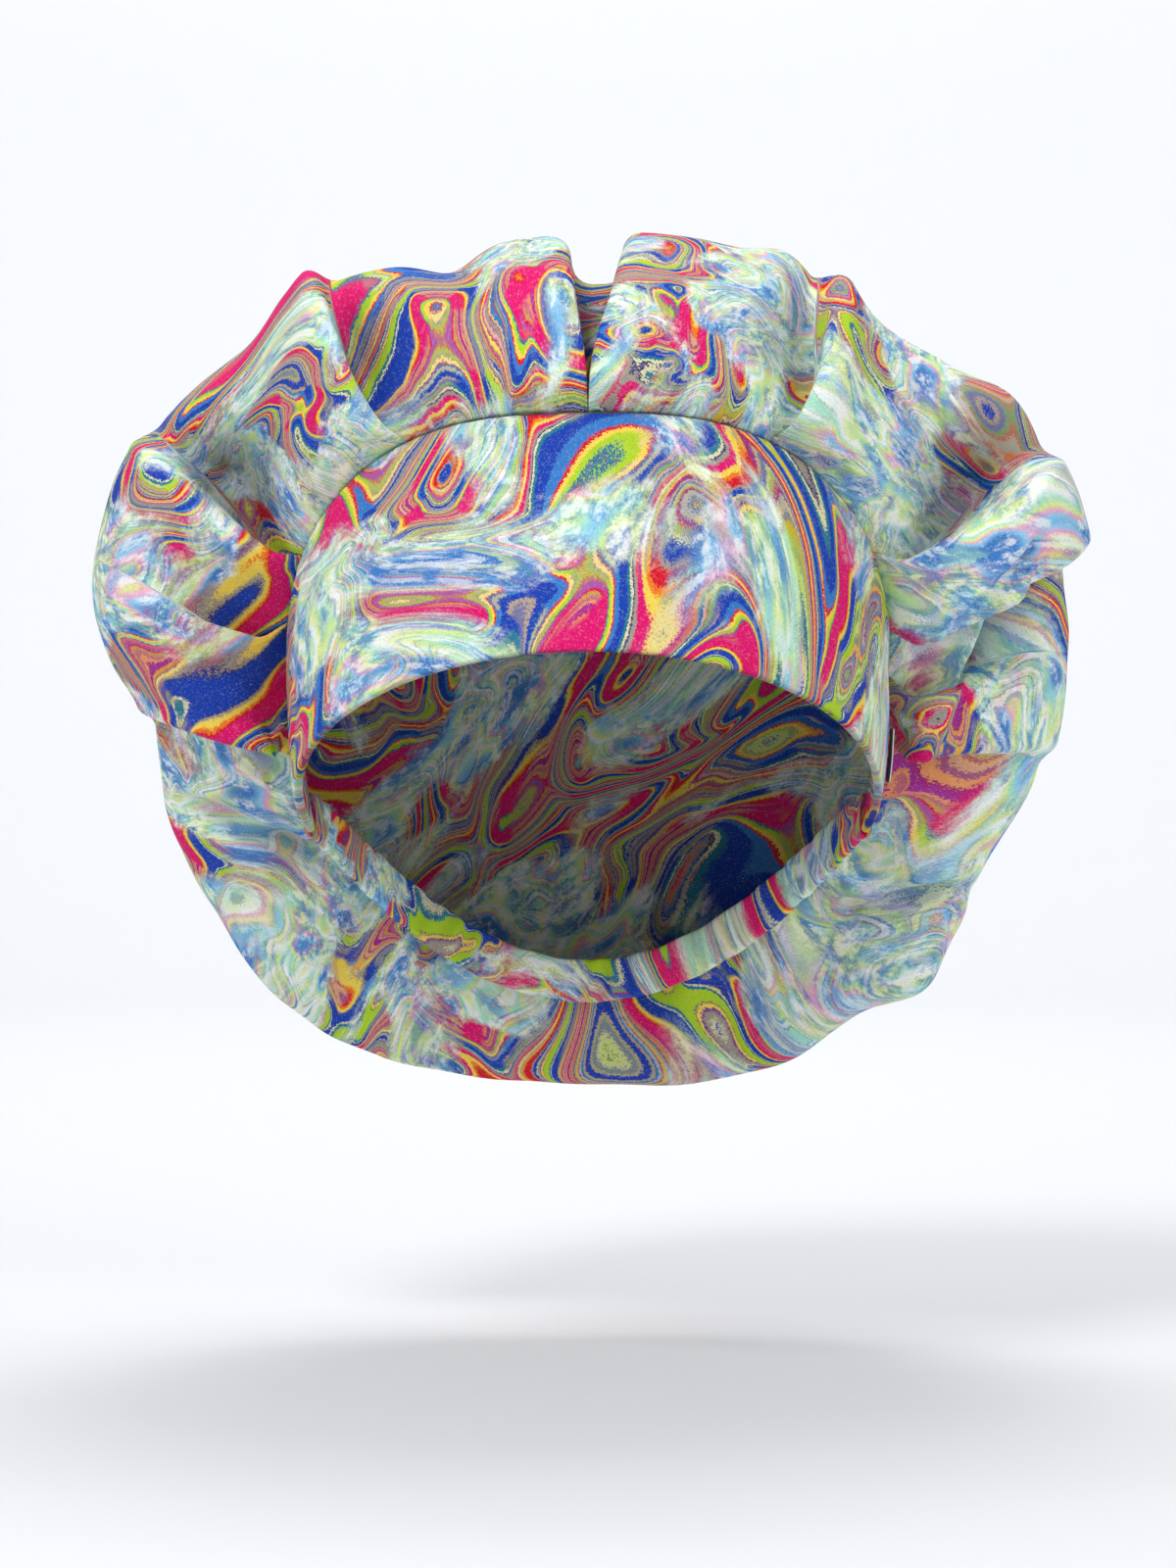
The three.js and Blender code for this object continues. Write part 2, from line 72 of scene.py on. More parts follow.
# The elastic casing round the nape
CASING_HEIGHT = 12
CASING_THICKNESS = 3.4
CASING_FACE = 0.7  # exponents of its section, 1 for an ellipse
CASING_SIDE = 0.8
NAPE_DROP = 48  # from the origin down to its middle, at the nape
TIP_EASE = 0.15  # share of its length in which the crown's line comes to its middle
CASING_GATHERS = 34  # from one end to the other
CASING_WANDER = (0.9, 9, 1)  # how they are spaced: reach, pace, start
CASING_SLANT = (0.15, 9)  # how they lean: reach, length
CASING_EASE = (0.01, 0.1)  # shares of its length in which they rise from nothing
CASING_RUFFLE = 0.8
RUFFLE_UNEVEN = (0.4, 11)  # how its height varies: share, length
RUFFLE_FACE = 0.5  # exponent of how the ruffle fades towards the edges
CASING_PROUD = 0.25  # the most that it stands out past its line
CASING_EDGE_WAVE = (0.035, 0.6)  # how its height varies: share, start
CASING_PRINT_SCALE = [1.6, 1.6, 1]

# The crown's bag
BAG_REACH = 132  # from the bag's axis out to its side
BAG_AXIS = 46  # height of that axis, which runs from front to back
BAG_DEPTH = 140  # origin to the back of the bag
BAG_SAG = 26  # how far the middle of the back hangs below the axis
BAG_BACK = 0.8  # exponent of the back's fullness, 1 for an ellipse
PUFF = 60  # how far forward the cloth swells between the seam and the outline
BAG_WAVES = [(0.8, 62, 3), (0.35, 24, 8)]  # height, length, seed
BAG_WAVES_START = (2, 30)  # where the waves start and are in full, out from the seam
BAG_WAVES_STOP = (0.9, 1)  # the way in which they die away again

# The crown's pleats
PLEAT_LAP = 4.8  # half of the cloth hidden in a pressed pleat
PLEAT_LAP_HOLDS = 0.1  # the way from which that cloth is let out
PLEAT_HALF = 3  # half of the width that a pleat's turn takes up at the seam
PLEAT_STACK = 2.6  # half the height of a pressed pleat's layers
PLEAT_OPENS = 0.2  # the way at which it stands fully open
PLEAT_FADE = (-0.25, 0.1)  # where its rise dies away, before and past its fade
PLEAT_SPREAD = 20  # how far along the seam its rise dies away

# The inverted box pleat in the middle: distances from the middle, and out from the seam
BOX_PLEAT_SEWN = 0.5  # to each edge, where it is sewn
BOX_PLEAT_EDGE = 4.8  # to each edge, where it stands open
BOX_PLEAT_PULL = 26  # to where the cloth isn't moved any more
BOX_PLEAT_OPENS = (2, 34)  # where it starts to open and stands open
BOX_PLEAT_PLACES = 0.4  # the furthest place round the opening that is moved

# The crown's seam on the band
SEWN_GAP = 1.2  # from the gathered edge to the face that it is sewn to
SEAM_GAP = 0.25  # between the crown's edge and the top of the band
TUCK_RUN = 7  # how far from the seam the cloth has come out to its own line
TUCK_ENDS = (0.97, 1.05)  # the places where the tuck ends
SEAM_PUCKER = 0.55
SEAM_PUCKER_START = 3
SEAM_PUCKER_FADE = 11
SEAM_SHADE = 0.55  # how far the dark of the seam reaches
SEAM_SHADE_ENDS = (1.02, 1.1)

# The gathers along the casing, from one end of it to the other
GATHERS = 9
GATHER_DEPTH = 2.4
GATHER_FADE = (0.05, 0.5)
FINE_GATHERS = 26
FINE_GATHER_DEPTH = 1.8
FINE_GATHER_FADE = (0, 0.16)
FINE_GATHER_WANDER = [(0.9, 9, 1), (0.6, 23, 0)]  # how they are spaced: reach, pace, start

# The wrinkles that run out from the seam, more of them over the ears
WRINKLE = 0.6
WRINKLE_LEAST = 0.25  # their share over the forehead
WRINKLE_PLACES = (0.35, 0.8)  # the places where they grow to their full height
WRINKLE_NAPE_LOSS = 0.5
WRINKLE_START = (0.01, 0.08)
WRINKLE_STOP = (0.1, 0.42)
WRINKLE_BEND = (14, 31)  # how they bend on their way: reach, length
WRINKLE_LINES = [(1, 2.6, 2, 13), (0.7, 4.7, 1, 23)]  # height, length, wander, its length

# The print and the shade on the crown
PRINT_JUMP = 30  # the most that the print shifts from one pleat to the next
PRINT_JOINS = (0.05, 0.55)  # the way in which the shift dies away
PRINT_SEED = 5
VALLEY_DEPTH = (1, 9)  # depths at which the shade of a fold starts and is in full
VALLEY_STOP = (0.3, 0.5)

# The label
LABEL_HEIGHT = 14
LABEL_LENGTH = 7
LABEL_THICKNESS = 1.2
LABEL_FOOT = 9  # height of its lower edge
LABEL_SET_BACK = 9  # from its edge by the seam to the seam itself
LABEL_CURL = 0.35
LABEL_CURL_WAVE = (0.2, 5)  # how the curl varies up the label: reach, pace
LABEL_CORE = 0.8  # share of its thickness that the tape takes up
LABEL_EDGE_POWER = 8  # how late it thins out towards its two ends
LABEL_EDGE_LEAST = 0.16
LABEL_PALE = 0.9  # width of its pale edge
GAP = 0.4  # from the band's face to the label, and twice that from its end to the casing

# The bag's sections: at, out in degrees, and shares: reach, back, leave, swell, waist
SECTION_COLUMNS = ("at", "out", "reach", "back", "leave", "swell", "waist")
SECTIONS = [
    (-1.741, 257, 0.96, 0.72, 0.16, 0.3, 0),
    (-1.492, 241, 1, 0.64, 0.18, 0.4, 0),
    (-1.316, 228, 1.005, 0.53, 0.2, 0.5, 0.06),
    (-1.2, 216, 0.965, 0.44, 0.21, 0.58, 0.14),
    (-1.08, 205, 0.95, 0.33, 0.22, 0.65, 0.2),
    (-1, 196, 0.93, 0.25, 0.24, 0.7, 0.18),
    (-0.92, 188, 0.918, 0.19, 0.24, 0.75, 0.16),
    (-0.84, 181, 0.965, 0.13, 0.24, 0.8, 0.12),
    (-0.75, 172, 1, 0.08, 0.24, 0.9, 0.04),
    (-0.6, 155, 0.985, 0.05, 0.26, 0.9, 0),
    (-0.53, 147, 0.945, 0.02, 0.28, 0.88, 0),
    (-0.455, 139, 0.9, 0, 0.3, 0.85, 0),
    (-0.36, 131, 0.9, -0.05, 0.31, 0.75, 0),
    (-0.3, 126, 0.89, -0.09, 0.32, 0.7, 0),
    (-0.23, 118, 0.83, -0.12, 0.32, 0.68, 0),
    (-0.167, 111, 0.76, -0.14, 0.32, 0.68, 0),
    (-0.078, 102, 0.775, -0.17, 0.32, 0.68, 0),
    (0, 88.5, 0.775, -0.17, 0.32, 0.68, 0),
    (0.078, 77, 0.8, -0.17, 0.32, 0.68, 0),
    (0.167, 69, 0.82, -0.15, 0.32, 0.68, 0),
    (0.23, 63.5, 0.86, -0.13, 0.32, 0.68, 0),
    (0.3, 57, 0.85, -0.1, 0.32, 0.7, 0),
    (0.38, 47, 0.835, -0.06, 0.31, 0.75, 0),
    (0.455, 38, 0.9, -0.02, 0.3, 0.85, 0),
    (0.53, 30.5, 0.99, 0.02, 0.28, 0.88, 0),
    (0.6, 22.5, 1, 0.05, 0.26, 0.9, 0),
    (0.66, 17, 1.01, 0.06, 0.25, 0.9, 0.02),
    (0.75, 8, 1, 0.1, 0.24, 0.9, 0.06),
    (0.84, -2, 0.99, 0.17, 0.24, 0.82, 0.14),
    (0.92, -12, 0.975, 0.26, 0.24, 0.75, 0.2),
    (1, -20, 0.975, 0.33, 0.24, 0.7, 0.2),
    (1.1, -30, 0.965, 0.42, 0.22, 0.65, 0.18),
    (1.2, -37.5, 0.99, 0.48, 0.21, 0.6, 0.12),
    (1.3, -45, 1.03, 0.53, 0.2, 0.5, 0.06),
    (1.42, -53, 0.985, 0.59, 0.19, 0.45, 0),
    (1.57, -64, 0.99, 0.66, 0.18, 0.36, 0),
    (1.75, -76, 0.97, 0.71, 0.16, 0.3, 0),
    (2, -90, 0.94, 0.74, 0.16, 0.3, 0),
]

# The pleats: at, over (the side that lies on top), and shares: lap, lift, sink, fade
PLEATS = [
    (-0.93, 1, 0.5, 0.12, 0.05, 0.5),
    (-0.74, -1, 0.8, 0.07, 0.09, 0.32),
    (-0.597, -1, 0.9, 0.1, 0.25, 0.46),
    (-0.301, -1, 0.9, 0.12, 0.1, 0.52),
    (-0.023, -1, 0.9, 0.1, 0.09, 0.74),
    (0.023, 1, 0.9, 0.1, 0.09, 0.74),
    (0.301, 1, 0.9, 0.12, 0.1, 0.52),
    (0.603, 1, 0.9, 0.1, 0.24, 0.46),
    (0.725, -1, 0.9, 0.1, 0.16, 0.54),
    (0.84, 1, 0.7, 0.08, 0.08, 0.42),
    (0.93, -1, 0.5, 0.13, 0.06, 0.5),
]

# Creases and soft ridges of the front, as seen from straight ahead: from x, z to x, z, the width,
# and how far the cloth goes in, below 0 where it stands out
CREASES = [
    (-112, 2, -70, -12, 3.6, 4.2),
    (-110, 9, -70, -5, 5, -2.2),
    (70, -27, 106, -21, 3.4, 5),
    (74, -20, 108, -14, 5, -2.4),
]
CREASE_START = (-4, 6)  # millimetres from the first end in which a crease grows
CREASE_STOP = (-8, 6)  # the same from the last end, in which it dies away

# Where one layer of cloth ends on top of another, as seen from the front: from x, z to x, z with
# the upper layer on the left of that way, its height, and how far the step reaches on each side
LAYERS = [
    (86, 8, 116, 72, 4.6, 11),
    (88, 47, 114, 77, 3.4, 8),
]
LAYER_START = (0, 0.5)  # shares of its length in which a step grows
LAYER_STOP = (0.8, 1.05)  # and dies away
LAYER_EDGE = 0.8
FRONT_FACING = (-0.35, 0.1)  # how far the cloth has to face the front to take either
FRONT_WAY = 0.62  # the way beyond which it takes neither

# How finely the meshes are cut
SAMPLES = 6000  # divisions in which a curve's length is measured
CROWN_COLUMN = 1.3
CROWN_PLEAT_COLUMNS = 14
CROWN_ROWS = 132
CROWN_CROWDING = 1.12
BAND_COLUMNS = 420
BAND_ROWS = 44
EDGE_STEPS = 8
CASING_COLUMNS = 640
CASING_ROUND = 28
LABEL_COLUMNS = 14
LABEL_ROWS = 16
LABEL_SAMPLES = 2000


def smoothstep(x, low, high):
    t = np.clip((x - low) / (high - low), 0, 1)
    return t * t * (3 - 2 * t)


def unit(vectors):
    return vectors / np.maximum(np.linalg.norm(vectors, axis=-1, keepdims=True), 1e-9)


def on_head(angle, height):
    """Points of the band's outer face, at angles round from the forehead and heights."""
    rise = RIM_HEIGHT + BAND_HEIGHT + HEAD_ABOVE_SEAM - HEAD_WIDEST
    fall = np.where(height > HEAD_WIDEST, rise, HEAD_FALL)
    share = np.minimum(np.abs(height - HEAD_WIDEST) / fall, HEAD_END)
    taper = (1 - share**HEAD_ROUNDNESS) ** (1 / HEAD_ROUNDNESS)
    x = HEAD_HALF_WIDTH * taper * np.sin(angle)
    y = -HEAD_FRONT * taper * np.cos(angle)
    return np.stack([x, y, height + 0 * x], -1)


def head_normal(angle, height):
    step = 0.01
    across = on_head(angle + step, height) - on_head(angle - step, height)
    rise = on_head(angle, height + step) - on_head(angle, height - step)
    return unit(np.cross(across, rise))


def rim_height(share):
    return RIM_HEIGHT * np.cos(TIP * share)


def seam_height(share):
    top = RIM_HEIGHT + BAND_HEIGHT
    falling = np.maximum(1 - np.abs(share) ** SEAM_ACROSS, 0) ** SEAM_DOWN
    return TIP_SEAM + (top - TIP_SEAM) * falling


def hem_point(share):
    """The middle of the casing's outer face, from the band's end to the nape."""
    turn = share * math.pi / 2
    start = on_head(np.array(TIP), (TIP_SEAM + rim_height(1)) / 2)
    x = start[0] * np.cos(turn)
    y = start[1] + (HEAD_NAPE - start[1]) * np.sin(turn)
    z = start[2] + (-NAPE_DROP - start[2]) * np.sin(turn) ** 2
    return np.stack([x, y, z], -1)


def run_along(points):
    steps = np.linalg.norm(np.diff(points, axis=0), axis=1)
    return np.concatenate([[0], np.cumsum(steps)])


FINE = np.linspace(0, 1, SAMPLES + 1)
SEAM_RUN = run_along(on_head(TIP * FINE, seam_height(FINE)))
HEM_RUN = run_along(hem_point(FINE))
SEAM_LENGTH = SEAM_RUN[-1]
HEM_LENGTH = HEM_RUN[-1]
RING_LENGTH = 2 * (SEAM_LENGTH + HEM_LENGTH)


def hem_frame(past):
    """Point, outward normal and upward direction of the hem at shares of its length."""
    share = np.interp(past * HEM_LENGTH, HEM_RUN, FINE)
    step = 1e-4
    low = np.clip(share - step, 0, 1)
    high = np.clip(share + step, 0, 1)
    tangent = unit(hem_point(high) - hem_point(low))
    normal = unit(np.cross(tangent, [0, 0, 1]))
    return hem_point(share), normal, np.cross(normal, tangent)


def crown_edge(at):
    """Where the crown starts, and the direction straight off the face that it is sewn to."""
    share = np.abs(at)
    along = np.interp(np.minimum(share, 1) * SEAM_LENGTH, SEAM_RUN, FINE)
    seam_point = on_head(TIP * along, seam_height(along))
    seam_normal = head_normal(TIP * along, seam_height(along))
    past = np.maximum(share - 1, 0)
    base, hem_normal, rise = hem_frame(past)
    ease = smoothstep(past, 0, TIP_EASE)
    shift = (TIP_SEAM - rim_height(1)) / 2 * (1 - ease)
    tip_normal = head_normal(np.array(TIP), np.array(float(TIP_SEAM)))
    leaving = unit(tip_normal * (1 - ease[:, None]) + hem_normal * ease[:, None])
    before = (share <= 1)[:, None]
    point = np.where(before, seam_point, base + rise * shift[:, None])
    normal = np.where(before, seam_normal, leaving)
    point = point + normal * SEWN_GAP
    mirror = np.where(at < 0, -1.0, 1.0)
    point[:, 0] *= mirror
    normal[:, 0] *= mirror
    return point, normal


def seam_line(points):
    """The places on the middle of the band's top edge that are nearest round the head."""
    angle = np.arctan2(points[:, 0] / HEAD_HALF_WIDTH, -points[:, 1] / HEAD_FRONT)
    angle = np.clip(angle, -TIP, TIP)
    step = 1e-3
    low = np.clip(angle - step, -TIP, TIP)
    high = np.clip(angle + step, -TIP, TIP)
    along = on_head(high, seam_height(high / TIP)) - on_head(low, seam_height(low / TIP))
    normal = head_normal(angle, seam_height(angle / TIP))
    away = unit(np.cross(normal, along))
    return on_head(angle, seam_height(angle / TIP)) - normal * BAND_WALL / 2 + away * SEAM_GAP


def ring_run(at):
    """How far round the opening each place lies from the forehead, in millimetres."""
    share = np.abs(at)
    far = SEAM_LENGTH + (share - 1) * HEM_LENGTH
    return np.sign(at) * np.where(share <= 1, share * SEAM_LENGTH, far)


def section_value(at, column):
    """One column of the section table at any places, by a smooth curve through it."""
    table = np.array(SECTIONS, float)
    values = table[:, SECTION_COLUMNS.index(column)]
    wrap = 360 if column == "out" else 0
    knots = np.concatenate([table[-3:, 0] - RING, table[:, 0], table[:3, 0] + RING])
    heights = np.concatenate([values[-3:] + wrap, values, values[:3] - wrap])
    i = np.clip(np.searchsorted(knots, at, side="right") - 1, 1, len(knots) - 3)
    width = knots[i + 1] - knots[i]
    t = (at - knots[i]) / width
    slope_from = (heights[i + 1] - heights[i - 1]) / (knots[i + 1] - knots[i - 1]) * width
    slope_to = (heights[i + 2] - heights[i]) / (knots[i + 2] - knots[i]) * width
    cube = t**3
    square = t**2
    from_share = (2 * cube - 3 * square + 1) * heights[i]
    to_share = (3 * square - 2 * cube) * heights[i + 1]
    leaving = (cube - 2 * square + t) * slope_from
    arriving = (cube - square) * slope_to
    return from_share + leaving + to_share + arriving


def bag_points(at, way):
    """The bag's smooth surface: an array of points, at by way."""
    angle = np.radians(section_value(at, "out"))
    reach = section_value(at, "reach") * BAG_REACH
    depth = section_value(at, "back") * BAG_DEPTH
    leave = section_value(at, "leave") * PUFF
    swell = section_value(at, "swell") * PUFF
    waist = section_value(at, "waist") * PUFF
    start, normal = crown_edge(at)
    outline = np.stack([reach * np.cos(angle), depth, BAG_AXIS + reach * np.sin(angle)], -1)
    lead = outline - np.stack([0 * swell, swell, 0 * swell], -1)
    t = np.minimum(2 * way, 1)[None, :, None]
    front = (
        (1 - t) ** 3 * start[:, None]
        + 3 * (1 - t) ** 2 * t * (start + normal * leave[:, None])[:, None]
        + 3 * (1 - t) * t**2 * lead[:, None]
        + t**3 * outline[:, None]
    )
    drawn = waist[:, None] * np.sin(2 * np.pi * way[None, :]) ** 2
    inward = np.stack([-np.cos(angle), 0 * angle, -np.sin(angle)], -1)
    front = front + inward[:, None] * drawn[:, :, None]
    turn = (np.maximum(way, 0.5) - 0.5) * np.pi
    radius = reach[:, None] * np.maximum(np.cos(turn), 0)[None, :] ** BAG_BACK
    sag = BAG_SAG * (1 - np.cos(turn))[None, :]
    back = np.stack(
        [
            radius * np.cos(angle)[:, None],
            depth[:, None] + (BAG_DEPTH - depth[:, None]) * np.sin(turn)[None, :],
            BAG_AXIS - sag + radius * np.sin(angle)[:, None],
        ],
        -1,
    )
    return np.where((way <= 0.5)[None, :, None], front, back)


def waves(points, rows):
    """Smooth noise at an array of points, from rows of height, length and seed."""
    directions = 7
    pace_range = (0.7, 1.4)
    last_start = 6.28
    total = 0
    for height, length, seed in rows:
        rng = np.random.default_rng(seed)
        wave = np.zeros(points.shape[:-1])
        for _ in range(directions):
            direction = unit(rng.normal(size=3))
            pace = 2 * np.pi / length * rng.uniform(*pace_range)
            wave += np.sin(points @ direction * pace + rng.uniform(0, last_start))
        total = total + height * (wave / math.sqrt(directions))
    return total


def stitch_phase(run):
    """The phase of the small puckers that the stitches pull into the seam."""
    phase = run / BAND_PUCKER_SPACING * 2 * np.pi
    for reach, length in BAND_PUCKER_WANDER:
        phase = phase + reach * np.sin(run / length)
    return phase


def crown_places():
    """The places round the opening where the crown has a column of vertices."""
    half = PLEAT_HALF / SEAM_LENGTH
    pinned = [-RING / 2, RING / 2]
    for at, *_ in PLEATS:
        pinned += list(at + half * np.linspace(-1, 1, CROWN_PLEAT_COLUMNS + 1))
    pinned = np.unique(np.round(pinned, 7))
    runs = ring_run(pinned)
    places = []
    for low, high, gap in zip(pinned, pinned[1:], np.diff(runs)):
        parts = max(1, math.ceil(gap / CROWN_COLUMN))
        places += list(low + (high - low) * np.arange(parts) / parts)
    return np.array(places)


def pleat_shift(run, way):
    """How the pleats move the bag: along the ring, and off the surface."""
    along = np.zeros((len(run), way.shape[1]))
    off = np.zeros_like(along)
    opening = smoothstep(way, 0, PLEAT_OPENS)
    for at, over, lap, lift, sink, fade in PLEATS:
        opened = opening * (1 - smoothstep(way, fade + PLEAT_FADE[0], fade + PLEAT_FADE[1]))
        pressed = PLEAT_STACK * (1 - opening)
        upper = pressed + opened * lift * PUFF
        lower = -pressed - opened * sink * PUFF
        distance = run - ring_run(np.array([at]))[0]
        distance = distance - RING_LENGTH * np.round(distance / RING_LENGTH)
        beyond = np.abs(distance) - PLEAT_HALF
        side = np.where(np.sign(distance) * over > 0, upper, lower)
        dying = side * np.exp(-np.maximum(beyond, 0) / PLEAT_SPREAD)
        turn = np.pi * np.clip(distance / PLEAT_HALF, -1, 1)
        width = lap * PLEAT_LAP * (1 - smoothstep(way, PLEAT_LAP_HOLDS, fade))
        inside = (upper + lower) / 2 + (upper - lower) / 2 * over * np.sin(turn / 2)
        along -= np.where(beyond < 0, width * np.sin(turn), 0)
        off += np.where(beyond < 0, inside, dying)
    return along, off


def fold_shift(at, way, out):
    """How pleats, gathers, wrinkles and stitches move the bag: along the ring, and off it."""
    run = ring_run(at)[:, None]
    way = way[None, :]
    along, off = pleat_shift(run, way)
    past = np.maximum(np.abs(at) - 1, 0)[:, None]
    eased = smoothstep(past, 0, TIP_EASE)
    coarse = eased * (1 - smoothstep(way, *GATHER_FADE))
    off += GATHER_DEPTH * coarse * np.cos(np.pi * GATHERS * (1 - past))
    fine = eased * (1 - smoothstep(way, *FINE_GATHER_FADE))
    wander = sum(reach * np.sin(pace * past + start) for reach, pace, start in FINE_GATHER_WANDER)
    off += FINE_GATHER_DEPTH * fine * np.cos(np.pi * FINE_GATHERS * (1 - past) + wander)
    # Wrinkles
    sides = smoothstep(np.abs(at), *WRINKLE_PLACES)[:, None] * (1 - WRINKLE_NAPE_LOSS * eased)
    reach = smoothstep(way, *WRINKLE_START) * (1 - smoothstep(way, *WRINKLE_STOP))
    bend_reach, bend_length = WRINKLE_BEND
    bend = run + bend_reach * way * np.sin(run / bend_length)
    lines = sum(
        height * np.sin(bend / length + turn * np.sin(run / turn_length))
        for height, length, turn, turn_length in WRINKLE_LINES
    )
    off += WRINKLE * (WRINKLE_LEAST + (1 - WRINKLE_LEAST) * sides) * reach * lines
    # Small puckers where the cloth is sewn to the band
    near_seam = np.exp(-out / SEAM_PUCKER_FADE) * smoothstep(out, 0, SEAM_PUCKER_START)
    off += SEAM_PUCKER * near_seam * (1 - eased) * np.sin(stitch_phase(run))
    return along, off


def beside_line(points, x1, z1, x2, z2):
    """Seen from the front: how far along a line points lie, how far left of it, its length."""
    line = np.array([x2 - x1, z2 - z1], float)
    length = np.linalg.norm(line)
    offset = points[..., [0, 2]] - np.array([x1, z1])
    return offset @ line / length, offset @ np.array([-line[1], line[0]]) / length, length


def front_relief(points, normal, way):
    """How far the creases and the layer edges of the front lift the cloth."""
    relief = np.zeros(points.shape[:2])
    for *line, width, depth in CREASES:
        run, left, length = beside_line(points, *line)
        ends = smoothstep(run, *CREASE_START) * (1 - smoothstep(run - length, *CREASE_STOP))
        relief -= depth * ends * np.exp(-((left / width) ** 2))
    for *line, height, spread in LAYERS:
        run, left, length = beside_line(points, *line)
        share = run / length
        ends = smoothstep(share, *LAYER_START) * (1 - smoothstep(share, *LAYER_STOP))
        relief += height * ends * np.tanh(left / LAYER_EDGE) * np.exp(-np.abs(left) / spread)
    facing = smoothstep(-normal[..., 1], *FRONT_FACING) * (way < FRONT_WAY)[None, :]
    return relief * facing


def close_box_pleat(points, at, out):
    """Bring the two pleats in the middle together where they are sewn."""
    x = points[..., 0]
    closer = np.interp(
        np.abs(x), [0, BOX_PLEAT_EDGE, BOX_PLEAT_PULL], [0, BOX_PLEAT_SEWN, BOX_PLEAT_PULL]
    )
    met = np.where(np.abs(x) < BOX_PLEAT_PULL, np.sign(x) * closer, x)
    pulled = (1 - smoothstep(out, *BOX_PLEAT_OPENS)) * (np.abs(at) < BOX_PLEAT_PLACES)[:, None]
    points[..., 0] = x + pulled * (met - x)


def sew_to_band(points, at, out):
    """Bring the crown's edge to the top of the band."""
    tucked = 1 - smoothstep(out, 0, TUCK_RUN)
    tucked = tucked * (1 - smoothstep(np.abs(at), *TUCK_ENDS))[:, None]
    return points + tucked[..., None] * (seam_line(points[:, 0]) - points[:, 0])[:, None]


def mesh_object(name, points, faces):
    mesh = bpy.data.meshes.new(name)
    mesh.from_pydata((points * MM).tolist(), [], faces)
    mesh.validate()
    mesh.polygons.foreach_set("use_smooth", [True] * len(mesh.polygons))
    mesh.update()
    made = bpy.data.objects.new(name, mesh)
    bpy.context.scene.collection.objects.link(made)
    return made


def store(made, name, values, kind="FLOAT"):
    """A value or vector for each vertex, for the material to read."""
    layer = made.data.attributes.new(name, kind, "POINT")
    field = "vector" if kind == "FLOAT_VECTOR" else "value"
    layer.data.foreach_set(field, np.asarray(values, np.float32).ravel())


def with_pole(grid, pole):
    """The grid without its last row, as a list, and one value for the pole."""
    return np.concatenate([grid[:, :-1].reshape(-1, *grid.shape[2:]), np.array([pole])])


def crown_cloth():
    at = crown_places()
    way = np.linspace(0, 1, CROWN_ROWS + 1) ** CROWN_CROWDING
    smooth = bag_points(at, way)
    steps = np.linalg.norm(np.diff(smooth, axis=1), axis=2)
    out = np.cumsum(np.concatenate([np.zeros((len(at), 1)), steps], axis=1), axis=1)
    across = unit(np.roll(smooth, -1, axis=0) - np.roll(smooth, 1, axis=0))
    onward = np.empty_like(smooth)
    onward[:, 1:-1] = smooth[:, 2:] - smooth[:, :-2]
    onward[:, 0] = smooth[:, 1] - smooth[:, 0]
    onward[:, -1] = smooth[:, -1] - smooth[:, -2]
    normal = unit(np.cross(across, onward))
    along, off = fold_shift(at, way, out)
    clear = smoothstep(out, *BAG_WAVES_START) * (1 - smoothstep(way, *BAG_WAVES_STOP))[None, :]
    off += clear * waves(smooth, BAG_WAVES)
    off += front_relief(smooth, normal, way)
    points = smooth + across * along[..., None] + normal * off[..., None]
    close_box_pleat(points, at, out)
    points = sew_to_band(points, at, out)
    points[:, -1] = points[:, -1].mean(0)
    columns, rows = points.shape[:2]
    pole = columns * (rows - 1)
    faces = []
    for i in range(columns):
        a = i * (rows - 1)
        b = ((i + 1) % columns) * (rows - 1)
        faces += [(a + j, b + j, b + j + 1, a + j + 1) for j in range(rows - 2)]
        faces.append((a + rows - 2, b + rows - 2, pole))
    made = mesh_object("crown_cloth", with_pole(points, points[0, -1]), faces)
    # Where each point lies on the printed cloth: the pleats hide some of the print
    rng = np.random.default_rng(PRINT_SEED)
    crease = PLEAT_HALF / 2 / SEAM_LENGTH
    edges = np.array([place - over * crease for place, over, *_ in PLEATS])
    panel = np.searchsorted(edges, at)
    shifts = rng.uniform(-1, 1, size=(len(edges) + 1, 3)) * PRINT_JUMP
    shifts[-1] = shifts[0]
    hidden = (1 - smoothstep(way, *PRINT_JOINS))[None, :, None]
    print_place = points + shifts[panel][:, None] * hidden
    store(made, "print_place", with_pole(print_place, points[0, -1]), "FLOAT_VECTOR")
    width = np.linalg.norm(np.diff(smooth, axis=0, append=smooth[:1]), axis=2).sum(0)
    round_run = ring_run(at)[:, None] * (width / width[0])[None, :]
    weave = np.stack([round_run, out, 0 * out], -1)
    store(made, "weave_place", with_pole(weave, [0, out[0, -1], 0]), "FLOAT_VECTOR")
    ends = 1 - smoothstep(np.abs(at), *SEAM_SHADE_ENDS)
    store(made, "seam_shade", with_pole(np.exp(-((out / SEAM_SHADE) ** 2)) * ends[:, None], 0))
    valley = smoothstep(-off, *VALLEY_DEPTH) * (1 - smoothstep(way, *VALLEY_STOP))[None, :]
    store(made, "fold_shade", with_pole(valley, 0))
    return made


def ring_mesh(name, rings):
    """A closed tube from rings of points, with flat ends."""
    columns, size = rings.shape[:2]
    faces = []
    for i in range(columns - 1):
        for k in range(size):
            a = i * size + k
            b = i * size + (k + 1) % size
            faces.append((a, a + size, b + size, b))
    faces.append(tuple(range(size)))
    faces.append(tuple(reversed(range((columns - 1) * size, columns * size))))
    return mesh_object(name, rings.reshape(-1, 3), faces)


